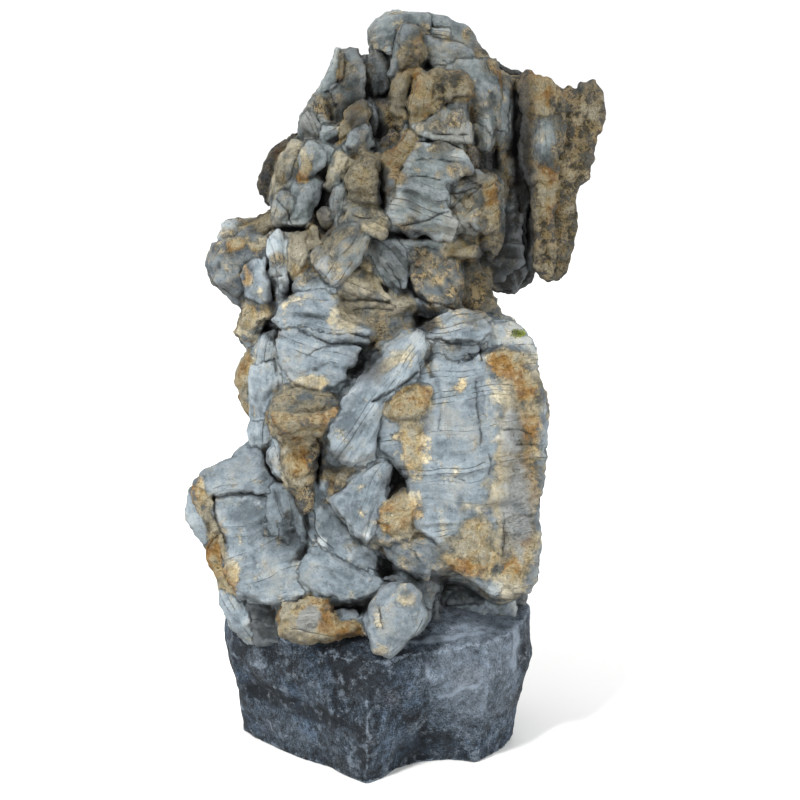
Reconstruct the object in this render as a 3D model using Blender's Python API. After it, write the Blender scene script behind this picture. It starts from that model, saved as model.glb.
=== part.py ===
"""Scholars rock on a hewn stone stand, as two solids: rock and stand.

The rock is a natural stone made of fused slabs, lobes, teeth and ledges, with a wing that leans out on
its right and a deep notch under it. Every form is drawn as an outline on the upright plane y = 0, in
centimetres, as it looks from the sight point in front of the rock, and is carried along its lines of
sight to its own depth. The origin is on the floor, under the middle of the stand.
"""
import math
import random

import bmesh
import bpy
from mathutils import Vector

CM = 0.01
SIGHT_POINT = (7.0, -400.0, 155.0)

STAND_HEIGHT = 0.43
BED_GAP = 0.0003
FUSE_VOXEL = 0.0095
ROCK_TRIANGLES = 8600
SMOOTH_STEPS = 2
WEATHER_SCALE = 0.09
WEATHER_DEPTH = 0.018
BACK_TAPER = 0.94
LEAST_THICKNESS = 3.0
ROUND_STEPS = [(0.25, 0.65), (0.75, 0.35)]
SIDE_SEED = 7
BACK_SEED = 11

ROCK_COLOUR = (0.33, 0.36, 0.38, 1.0)
STAND_COLOUR = (0.075, 0.083, 0.095, 1.0)

# Each form: front depth, thickness, edge rounding, slope of its face to the right and upwards, outline.
CORES = {
    "left_seat": (-17, 34, 2, 0, 0, [(-31, 26), (-34, 46), (17, 48), (17, 26)]),
    "right_seat": (-8, 24, 2, 0, 0, [(14, 26), (15, 50), (39, 50), (37, 26)]),
    "low_core": (-8, 22, 4, 0, 0.05, [
        (-34, 40), (-37, 50), (-40, 60), (-39, 67), (-33, 73), (-27, 79), (-26, 90), (-27, 100), (-25, 108),
        (-24, 116), (-20, 118), (0, 118), (20, 117), (25, 117), (29, 112), (34, 107), (37, 101), (38, 92),
        (38, 70), (37, 50), (36, 40), (20, 38), (0, 34), (-20, 33), (-30, 32)]),
    "middle_core": (0, 15, 4, 0, 0, [
        (-25, 108), (-26, 118), (-32, 123), (-34, 130), (-30, 134), (-24, 135), (-14, 140), (0, 142),
        (20, 142), (32, 140), (38, 140), (38, 128), (34, 124), (27, 123), (27, 117), (29, 112), (20, 104),
        (-10, 104)]),
    "top_core": (5, 10, 3, 0, 0, [
        (-20, 138), (-19, 146), (-19, 154), (-14, 160), (-10, 169), (-7, 174), (-5, 176), (0, 174), (4, 181),
        (9, 185), (19, 183), (26, 177), (34, 172), (36, 160), (37, 140), (35, 127), (20, 132), (0, 136)]),
}

LOW_FORMS = {
    "left_lobe": (-21, 26, 5, -0.30, 0.10, [
        (-42.5, 66.3), (-40, 66.7), (-35, 67.3), (-30, 66.8), (-27, 67.3), (-24, 66), (-21, 62), (-20, 58),
        (-17, 52), (-14, 47), (-13, 42), (-17, 39.5), (-22, 37), (-28, 37.8), (-32, 39.2), (-35, 40.2),
        (-37, 42.5), (-38.5, 46), (-39, 51), (-40.5, 58), (-41.5, 62)]),
    "left_lobe_top": (-17, 24, 2.5, -0.25, 0.30, [
        (-46.5, 70), (-44, 72.3), (-40, 74.3), (-36.5, 76.5), (-33, 79.3), (-31.5, 80.5), (-30, 79),
        (-29.5, 76), (-28.5, 73), (-26.5, 69), (-28, 67.8), (-35, 68), (-40, 67.2), (-42.5, 67),
        (-45.3, 69.6)]),
    "seam_rib": (-14, 14, 1, -0.2, 0, [
        (-46.2, 70), (-45, 69.3), (-43.6, 67), (-41.8, 62), (-40.8, 59), (-41.3, 57), (-43.8, 61),
        (-45.6, 63.5), (-46.8, 66), (-46.6, 68)]),
    "outer_fin": (-8, 16, 2, -0.2, 0, [
        (-47.3, 68.5), (-48.8, 64), (-49, 62), (-48, 59.5), (-46.5, 57), (-44, 52.6), (-41.5, 56.3),
        (-44.3, 60.7), (-46, 63.2), (-47, 65.5)]),
    "seam_foot": (-10, 14, 1.5, -0.2, 0, [
        (-43.8, 52), (-41.5, 55), (-40.8, 57.5), (-39.7, 52), (-38.8, 49), (-38.6, 44), (-37, 42),
        (-35, 40.3),
        (-38.5, 39.5), (-40, 40.5), (-41, 44), (-42.5, 47.5), (-44, 50.5)]),
    "left_toe": (-15, 18, 2.5, -0.2, 0.1, [
        (-40.2, 40.5), (-35.5, 39.7), (-33.5, 38.5), (-31.8, 34.5), (-31.8, 29), (-29, 28), (-28.5, 26.3),
        (-32.5, 26.3), (-35, 28.3), (-37.7, 30.7), (-39, 34), (-40.2, 38)]),
    "toe_lip": (-14, 12, 0.8, 0, 0, [
        (-33, 39), (-30, 38.5), (-26, 37.3), (-27, 35.8), (-30, 35), (-32.5, 34.5)]),
    "toe_recess": (-6, 12, 0.8, 0, 0, [
        (-33, 36.5), (-26, 37), (-24.5, 35), (-24.5, 27), (-31, 26.5)]),
    "ochre_lump": (-28, 20, 3, 0.15, 0.15, [
        (-24.2, 33), (-23.3, 36.3), (-20, 37.2), (-17.5, 38.5), (-14.5, 38), (-12, 36.5), (-10.5, 32.5),
        (-5.5, 31.3), (-4, 30.3), (-10, 28), (-16.3, 26.4), (-19.5, 26.7), (-22.5, 28), (-24, 29)]),
    "pitted_strip": (-25, 10, 0.8, 0, 0, [
        (-10.5, 34.7), (-5.5, 34.3), (-4.6, 33), (-5.5, 32.3), (-10, 33.2)]),
    "belly": (-26, 26, 4, 0, 0.1, [
        (-17, 52), (-15, 53.5), (-10, 49), (-6.5, 46.8), (0, 44.6), (3, 43.8), (2, 41.5), (0, 39.8),
        (-3, 38.3), (-7, 37.2), (-12.5, 39.5), (-17, 40.5), (-20, 42), (-21, 46), (-19, 50)]),
    "middle_toe": (-33, 26, 3, 0.1, 0.1, [
        (-1, 36.5), (2, 41), (5, 42.3), (10, 42), (12, 40), (12.7, 37), (14, 35), (13, 32.5), (11, 30),
        (7.5, 26), (4, 22.6), (2.5, 24), (0, 24.2), (-1.3, 28), (-1.8, 30), (-0.5, 32.5)]),
    "toe_back": (-24, 18, 2, 0.2, 0.1, [
        (3, 43.8), (6, 44.2), (7.5, 47), (10.5, 45.3), (12.5, 44), (15.5, 44.5), (17, 42), (16, 39),
        (14.5, 36.5),
        (12.5, 38), (10, 42.3)]),
    "twisted_rib": (-23, 18, 3, 0.1, 0, [
        (-17, 69), (-15.5, 70), (-14, 69), (-12, 66), (-9, 63.5), (-6, 59.5), (-3, 55.8), (1, 53.5),
        (3.3, 49.5), (2.5, 47.8), (-5, 46.3), (-9, 48.5), (-13, 51), (-14.3, 52.5), (-15.8, 58.5),
        (-17.5, 64.5)]),
    "lobe_recess": (-14, 14, 2, 0, 0, [
        (-27, 69), (-20.5, 70), (-19, 62), (-15.5, 56), (-17, 54), (-22.5, 53.5), (-27.5, 58)]),
    "cap_stem": (-27, 16, 3, -0.2, 0, [
        (-24.5, 80.5), (-22, 82.5), (-14, 82.5), (-12.6, 80.5), (-15.8, 76), (-16.8, 70.5), (-17, 64.5),
        (-17.5, 62.5), (-19, 63.5), (-20.5, 69), (-22.3, 71), (-24, 74), (-24.8, 77)]),
    "cap_rim": (-32, 20, 2, 0, -0.2, [
        (-26.3, 86.5), (-25, 88.5), (-20, 88.5), (-15, 88), (-11.3, 87.5), (-12.2, 85.5), (-13.7, 84.2),
        (-20, 83.2), (-22.5, 82.2), (-24.5, 83), (-26, 85)]),
    "cap_top": (-24, 18, 1, 0, 0.9, [
        (-26.3, 88), (-25.8, 90.5), (-24, 93), (-21, 95.3), (-13.5, 94), (-10.5, 92.5), (-9.3, 90.5),
        (-11, 87), (-18, 86)]),
    "stem_rib": (-22, 12, 1.2, 0, 0, [
        (-24, 80.7), (-27.2, 77.5), (-27, 75.5), (-24.7, 72), (-22, 69.5), (-22.3, 71), (-24, 74),
        (-24.8, 77)]),
    "hollow_rim": (-19, 10, 0.8, 0, 0, [
        (-16, 77.5), (-14.5, 78.8), (-11, 79), (-10.5, 77), (-11.5, 75), (-15, 75.3)]),
    "hollow_ridge": (-20, 10, 0.6, 0, 0, [
        (-15, 73), (-13.3, 74), (-12.3, 73), (-11, 72.7), (-10.9, 69), (-12.8, 67), (-14.2, 69.5)]),
    "ochre_shelf": (-27, 14, 1.2, 0, 0.3, [
        (-9.5, 71.5), (-6.3, 73.5), (-5, 75.2), (-2, 76.8), (2, 78), (2.8, 76.5), (-1, 74.2), (-3, 72.6),
        (-7, 70.3), (-9.8, 68)]),
    "tilted_block": (-30, 22, 1.5, 0.3, 0.1, [
        (-10.3, 65.7), (-6, 69.2), (-4, 70.5), (0, 74), (3, 76), (5, 74.5), (3.2, 70), (2.7, 65), (1, 63.3),
        (0, 58), (-2, 54.8), (-5, 58.8), (-6.3, 61), (-8, 61.5)]),
    "shade_face": (-20, 12, 1, 0.2, 0, [
        (3, 65.5), (2.8, 70), (4, 73.5), (6.5, 74.5), (8.5, 73.5), (9, 71), (8.5, 68), (4.5, 64)]),
    "ochre_knob": (-31, 16, 2, 0, 0, [
        (1, 60), (1.5, 62), (5, 65), (8.3, 68), (9.5, 63), (10.3, 60.5), (9, 57), (5, 57.3), (2.5, 59.5)]),
    "knob_foot": (-28, 14, 1.2, 0, 0, [
        (-0.5, 57), (0, 60), (1.5, 61), (3.5, 57.5), (9, 56.5), (9, 54.5), (4, 53.3), (-1, 55)]),
    "rough_foot": (-27, 18, 2, 0.1, 0.1, [
        (3, 53.5), (9, 55.5), (12, 57), (14, 57), (18, 53), (20, 51), (20, 47.5), (15.5, 47), (13.7, 44),
        (10, 46.2), (6, 48.3), (3.5, 51.5)]),
    "left_neck": (-16, 22, 2, 0, 0, [
        (-31.5, 85), (-29, 87), (-26.5, 86), (-25.6, 81), (-27, 79), (-30, 78), (-31.5, 80.8), (-32, 82.5)]),
}

PLATE_FORMS = {
    "diagonal_slab": (-31, 22, 4, 0, 0.15, [
        (-11, 86.2), (-8, 90.5), (-5, 93.5), (-3, 96.5), (1, 100.5), (5, 105), (7, 107), (11, 109),
        (12.5, 109),
        (13.4, 104), (11.5, 102), (11.2, 98.8), (7, 96), (1.5, 92.3), (0.8, 87), (-0.2, 80), (-0.8, 77.7),
        (-6, 75.6), (-8.5, 76.2), (-10, 78.2), (-10.6, 81), (-11, 83.5)]),
    "great_plate": (-24, 12, 3, 0.20, 0.10, [
        (1, 91.5), (8, 96.3), (13.5, 100.8), (16, 101.8), (25, 102), (27, 103.3), (35, 105.3), (40, 104.5),
        (42, 102.5), (44, 96.3), (45, 93), (45.5, 82), (45.7, 76), (45.5, 71), (44, 66.5), (43.3, 57),
        (42.3, 48), (41.5, 40.5), (38, 40), (33, 38.6), (29.5, 41.5), (24, 45.3), (20, 49.3), (17, 54.5),
        (11, 58), (9.5, 65), (9, 71), (6, 75.8), (1.5, 78.5), (1, 85)]),
    "plate_ledge": (-30, 10, 1.8, 0, 0.1, [
        (4, 92.5), (6, 94.5), (9, 95.7), (12, 95.5), (14, 94), (14, 91), (11, 88.3), (5, 88.5), (2.5, 91)]),
    "plate_rib": (-29, 10, 2, 0.1, 0, [
        (1.5, 86), (3.5, 88), (7, 87.5), (10, 86), (10.5, 82), (10, 75), (8.5, 73.7), (4, 77.3), (1.2, 82)]),
    "right_flange": (-15, 8, 2.5, 0.2, 0, [
        (36, 105), (40, 105), (42.3, 101), (45, 93.5), (45.5, 80), (45.7, 74), (45.3, 70.5), (43.5, 66),
        (42.5, 53), (41.8, 44), (40, 43), (40, 60), (39.5, 68), (40.5, 76), (39, 84), (38, 98)]),
    "plate_foot": (-28, 12, 1.8, 0.1, 0.1, [
        (20.5, 50), (24.5, 59), (28, 59.5), (32, 57), (33.5, 53), (33, 49), (30, 43.5), (27.5, 43.8),
        (21, 48.7)]),
    "plate_heel": (-21, 16, 2, 0.2, 0, [
        (34.5, 57.5), (37, 60), (40, 60.5), (42.5, 57), (42.5, 50), (41.5, 44), (39.5, 41.5), (34.5, 44.5),
        (34, 53)]),
    "plate_lip": (-23, 16, 1, 0.1, 0, [
        (29.8, 42), (32, 43), (35, 43.5), (37.5, 41.5), (37, 39.3), (35, 38.5), (30.3, 40)]),
    "under_plate": (-9, 18, 1, 0.1, 0, [
        (16.5, 46.5), (20, 47.5), (25, 43), (32, 40), (40, 39.5), (40, 37), (30, 37), (20, 38), (16, 41)]),
    "shoulder": (-21, 24, 1.5, 0, 0.45, [
        (11.5, 109.3), (14, 111.3), (17, 113.3), (20, 114.4), (22.5, 114.8), (28.3, 113.8), (30, 110.5),
        (28, 108.2), (20, 108.7), (14.5, 108.2)]),
    "shoulder_band": (-20, 18, 1.2, 0, 0.1, [
        (13.3, 107.5), (20, 106.6), (24, 106.7), (27.5, 107.8), (28, 106), (25.3, 102.8), (16, 102.2),
        (12, 101.5), (13.5, 103.7)]),
    "moss_shoulder": (-17, 24, 1.5, 0.2, 0.2, [
        (29.3, 108.5), (30.5, 110.5), (36, 111.5), (37.3, 110.8), (39, 108.3), (40.3, 107.6), (41.3, 105.5),
        (41.6, 103), (34, 105.3), (29.5, 104.3), (28.5, 106)]),
}

LEFT_FORMS = {
    "column_low": (-17, 22, 3, -0.3, 0, [
        (-29.7, 101), (-25.7, 102.7), (-24, 96.5), (-22, 95.8), (-26, 91), (-27.5, 86), (-31, 84.5),
        (-31.8, 91), (-32, 95), (-30.7, 100)]),
    "column_high": (-16, 16, 1.5, -0.2, 0, [
        (-27.7, 108), (-26.3, 108.9), (-25.7, 103), (-29.6, 101.5), (-29.3, 103.5)]),
    "column_strip": (-14, 16, 0.8, 0, 0, [
        (-25.8, 108.7), (-24.3, 108.7), (-23.2, 101), (-20.8, 96.2), (-23, 95.5), (-24.5, 97), (-25.4, 101)]),
    "ochre_rim": (-8, 18, 1.5, -0.2, 0, [
        (-28.7, 106.5), (-30, 104), (-31.5, 104.5), (-33, 103), (-34.3, 99.5), (-34.7, 96.5), (-34.2, 93.5),
        (-31.8, 87.5), (-31.2, 85), (-31.2, 89), (-31.9, 95), (-30.8, 100), (-29.3, 104.5)]),
    "breast_plate": (-24, 28, 3.5, 0, 0.1, [
        (-24.3, 107), (-23.5, 109.3), (-21.5, 110.3), (-18, 109), (-14, 107), (-6, 106), (-4, 105),
        (-4.8, 103), (-5.5, 101.6), (-7.5, 100.5), (-7.5, 98), (-11, 95.3), (-15, 95), (-20, 96),
        (-22, 99.5), (-23.8, 105)]),
    "breast_lip": (-22, 20, 0.7, 0, 0.3, [
        (-20, 110.7), (-14, 109.3), (-3, 108.1), (-1.9, 107.7), (-3, 107.2), (-13, 108), (-18, 108.7)]),
    "upper_plate": (-20, 24, 2.5, 0, 0.25, [
        (-22.5, 117), (-20.5, 118.8), (-18, 119.2), (-13.5, 120.6), (-11, 119.9), (-10.3, 116), (-9.5, 113.5),
        (-6, 111), (-1.5, 109.9), (-10, 109.9), (-16, 110.4), (-20, 111.3), (-23.5, 110.7), (-25.3, 112.7)]),
    "plate_hem": (-17, 16, 0.9, 0, 0.2, [
        (-10, 119.3), (-9, 117), (-7.5, 114.5), (-5, 112.5), (-1.3, 110.2), (-6, 110.6), (-9.8, 114.5),
        (-10.5, 117)]),
    "neck_block": (-16, 20, 1.8, 0, 0.2, [
        (-20, 119.7), (-20.7, 121), (-20, 123.5), (-19, 125.5), (-15.5, 126), (-12.5, 123), (-10.3, 120.5),
        (-14, 121), (-18, 119.9)]),
    "ochre_elbow": (-12, 20, 2, -0.2, 0, [
        (-32.5, 117), (-31, 118), (-27, 117.7), (-25.3, 117), (-24.8, 114.5), (-26, 113.3), (-29, 113),
        (-31, 110), (-30.7, 108.8), (-33.5, 108.8), (-34.6, 110), (-34, 112)]),
    "elbow_neck": (-6, 16, 1, 0, 0, [
        (-33, 108.9), (-30.5, 109), (-29.3, 108), (-30, 106), (-31, 103.8), (-32, 105.5)]),
    "elbow_chip": (-11, 10, 0.5, 0, 0, [
        (-30, 111.5), (-28.5, 113), (-27, 113.2), (-28, 111.5), (-29.3, 110)]),
    "arm": (-11, 22, 3.5, -0.3, 0.1, [
        (-38, 133), (-40, 132), (-41.2, 129), (-40.7, 125), (-40, 123), (-38.5, 121.5), (-35, 120.2),
        (-33.7, 121), (-34, 124), (-33.3, 127), (-28.5, 129), (-27.5, 133.5), (-30, 134), (-31.5, 136.3),
        (-35, 133.5)]),
    "arm_back": (-3, 18, 1.8, 0, 0.2, [
        (-38.5, 134.5), (-38, 136.5), (-36.5, 138), (-34.5, 138.8), (-30, 138.2), (-32.5, 135),
        (-38, 133.3)]),
    "arm_ridge": (-8, 18, 1.2, 0, 0.2, [
        (-30, 138.1), (-28, 138.9), (-25, 140), (-24.5, 138), (-23, 136.8), (-27, 134.3), (-30, 134.5),
        (-33.5, 134.7), (-32, 136.8)]),
    "arm_underside": (-2, 14, 1, 0, 0, [
        (-39, 121.3), (-35, 117.5), (-32.5, 115.3), (-31, 117), (-31.2, 119), (-34, 121)]),
    "left_slab": (-15, 18, 1.8, -0.1, 0, [
        (-32, 126.5), (-31, 127.8), (-29.5, 128.2), (-28, 127.5), (-27.3, 122), (-26.8, 118), (-29, 117),
        (-31, 118.5), (-32.5, 119.5), (-33, 121.5), (-32.8, 124)]),
    "thumb_slab": (-16, 18, 1.6, 0, 0, [
        (-26, 133.5), (-25, 134.8), (-24, 135), (-23.3, 133.5), (-22.9, 126), (-23, 120.5), (-23.8, 119.3),
        (-26, 122), (-26.3, 124.5), (-25, 128), (-26.5, 131)]),
    "dark_slab": (-11, 16, 0.8, 0, 0, [
        (-28, 128.3), (-26.5, 127.8), (-26.2, 122), (-24.3, 118.5), (-24.7, 115), (-25.5, 113.5),
        (-26.5, 119.5),
        (-27.9, 126)]),
    "dark_chip": (-9, 14, 0.8, 0, 0, [
        (-22.8, 123), (-21.5, 124), (-20.3, 121), (-21.5, 118.5), (-24, 118.8)]),
    "grey_sliver": (-13, 14, 0.5, 0, 0, [
        (-22.3, 133.8), (-21.5, 133), (-21, 129), (-21.7, 124.3), (-22.5, 129)]),
    "ochre_finger": (-17, 16, 1.3, 0, 0, [
        (-19.5, 134.5), (-17.5, 135.3), (-17.3, 132.3), (-16.3, 131), (-17.2, 127.8), (-19, 124.5),
        (-20.5, 123.2), (-21.3, 124.5), (-20.2, 129.5), (-20, 132.5)]),
    "ochre_tooth_low": (-15, 14, 0.8, 0, 0, [
        (-15.7, 136.5), (-14.8, 137.7), (-14, 136.5), (-13.2, 132.5), (-13.5, 131), (-14.7, 131.2)]),
    "tan_chip": (-14, 14, 0.8, 0, 0, [
        (-14, 140.5), (-13, 141.2), (-10.3, 140.5), (-10.2, 139), (-11.3, 136.4), (-13.5, 138.7)]),
    "gap_wedge": (-11, 12, 0.5, 0, 0, [
        (-13.2, 136.5), (-12, 137.3), (-9.5, 137.5), (-11, 133.2), (-12.8, 131.8)]),
    "arm_shelf": (-9, 14, 0.6, 0, 0, [
        (-25, 137), (-22, 137.3), (-17, 135.9), (-18, 134.8), (-25, 135.7)]),
    "elbow_slab": (-21, 22, 2.2, 0, 0.2, [
        (-15, 129.5), (-14, 131), (-12.5, 131.5), (-9.5, 135.5), (-7, 137.6), (-4, 138), (-1.5, 134),
        (-3.5, 130), (-9, 122.7), (-10.3, 122.5), (-14, 126.5), (-15.2, 127.5)]),
    "tan_face": (-17, 20, 1, 0.1, 0.1, [
        (-9, 122), (-7, 124), (-3.3, 130), (-2, 128.5), (0.5, 123.8), (5.5, 117.8), (-3, 119.7),
        (-9.5, 120.5)]),
    "grey_panel": (-15, 20, 1.2, 0.1, 0.1, [
        (-2.3, 131), (0, 133.5), (3, 134), (8, 132), (9.3, 130), (9.8, 127.5), (9.3, 125), (8.8, 121),
        (7.5, 120.3), (3, 122.5), (-1.3, 127)]),
    "layered_wedge": (-15, 18, 0.8, 0, 0.3, [
        (-8.5, 116.5), (-6.5, 119), (-3, 119.3), (5.5, 117.3), (8, 118.5), (9.5, 116.2), (6, 115.4),
        (0, 116.1),
        (-6.5, 115)]),
    "layered_mass": (-16, 18, 1.2, 0.1, 0.2, [
        (-6.5, 114.7), (0, 115.8), (9, 115.4), (10.3, 113.5), (10, 109.7), (8.5, 108.3), (1, 107.7),
        (-0.5, 109), (-1.2, 111)]),
    "broken_ledge": (-12, 14, 0.6, 0, 0, [
        (-1.5, 107.8), (7, 107.3), (3.3, 104.8), (-1.5, 104.9), (-3, 105.8)]),
}

RIGHT_FORMS = {
    "waist_mass": (-10, 18, 1, 0, 0, [
        (9.5, 129.5), (11, 132), (13, 134), (18, 132.5), (19.5, 131), (15.5, 129.2), (10.8, 127.5)]),
    "ochre_ledge": (-13, 18, 0.9, 0, 0.2, [
        (17.5, 131), (20, 132), (23, 132.3), (26, 131.5), (26.5, 130), (21, 129.3), (18.5, 129.5)]),
    "waist_lump": (-17, 20, 2, 0.1, 0.1, [
        (10.3, 127), (12.5, 128.3), (15.5, 128.8), (20.5, 127.8), (22, 123), (20.3, 117), (16, 117.3),
        (11.7, 120), (9.7, 124.5)]),
    "waist_panel": (-8, 20, 1.8, 0.2, 0.05, [
        (21, 129), (26, 130), (28, 126), (29.7, 123.5), (30.3, 118), (33, 113.5), (36, 111.8), (30.5, 111.5),
        (29, 113.8), (21, 116), (22.3, 123)]),
    "waist_ledge": (-13, 14, 0.8, 0, 0, [
        (10.3, 114.8), (13, 117.7), (20, 116.3), (21, 115.3), (17.5, 114.3), (13, 114.4)]),
    "waist_rib": (-12, 14, 0.6, 0, 0, [
        (8.8, 121), (9.5, 123.5), (11.7, 119.3), (13.5, 118), (10.3, 115.8), (8, 119.3)]),
    "wing_root": (3, 20, 2, 0, 0, [
        (30, 149), (33, 150), (36, 146), (37, 140), (39, 134), (40.5, 127), (38.5, 124), (36.5, 120.6),
        (33, 121.7), (30.5, 122.7), (28.3, 128), (33, 133), (32.5, 144)]),
    "wing_wall": (9, 8, 1.5, 0, 0, [
        (28, 178), (31, 178), (33, 176.5), (38, 174.5), (39.5, 166), (39, 157), (42, 149), (43, 143),
        (43, 137),
        (42, 128), (40, 123), (36.5, 120.5), (32, 122), (28, 140), (27, 156)]),
    "wing_front": (-2, 14, 1.4, 0.30, 0, [
        (38, 174.3), (39, 174.7), (43, 173.3), (45, 172.5), (47, 170.8), (48, 161), (47, 151), (46, 146),
        (45.5, 138), (46, 124), (43.5, 124.7), (42, 127), (43, 134), (41.5, 142), (39.5, 150), (37.5, 154.5),
        (37, 157), (38.5, 163), (39.5, 166), (38.2, 172)]),
    "wing_right": (4, 9, 1.4, 0.35, 0, [
        (46, 170.5), (49, 170.2), (52.5, 170), (53, 171.5), (55, 172.6), (57, 170.8), (58, 166), (57.8, 164),
        (56.3, 160), (55.8, 155), (53.5, 150), (52, 147.5), (51, 144), (51, 134), (50, 128.5), (48.5, 125),
        (47, 124), (45, 124.5), (45, 138), (46, 151), (46.5, 161)]),
}

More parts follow.
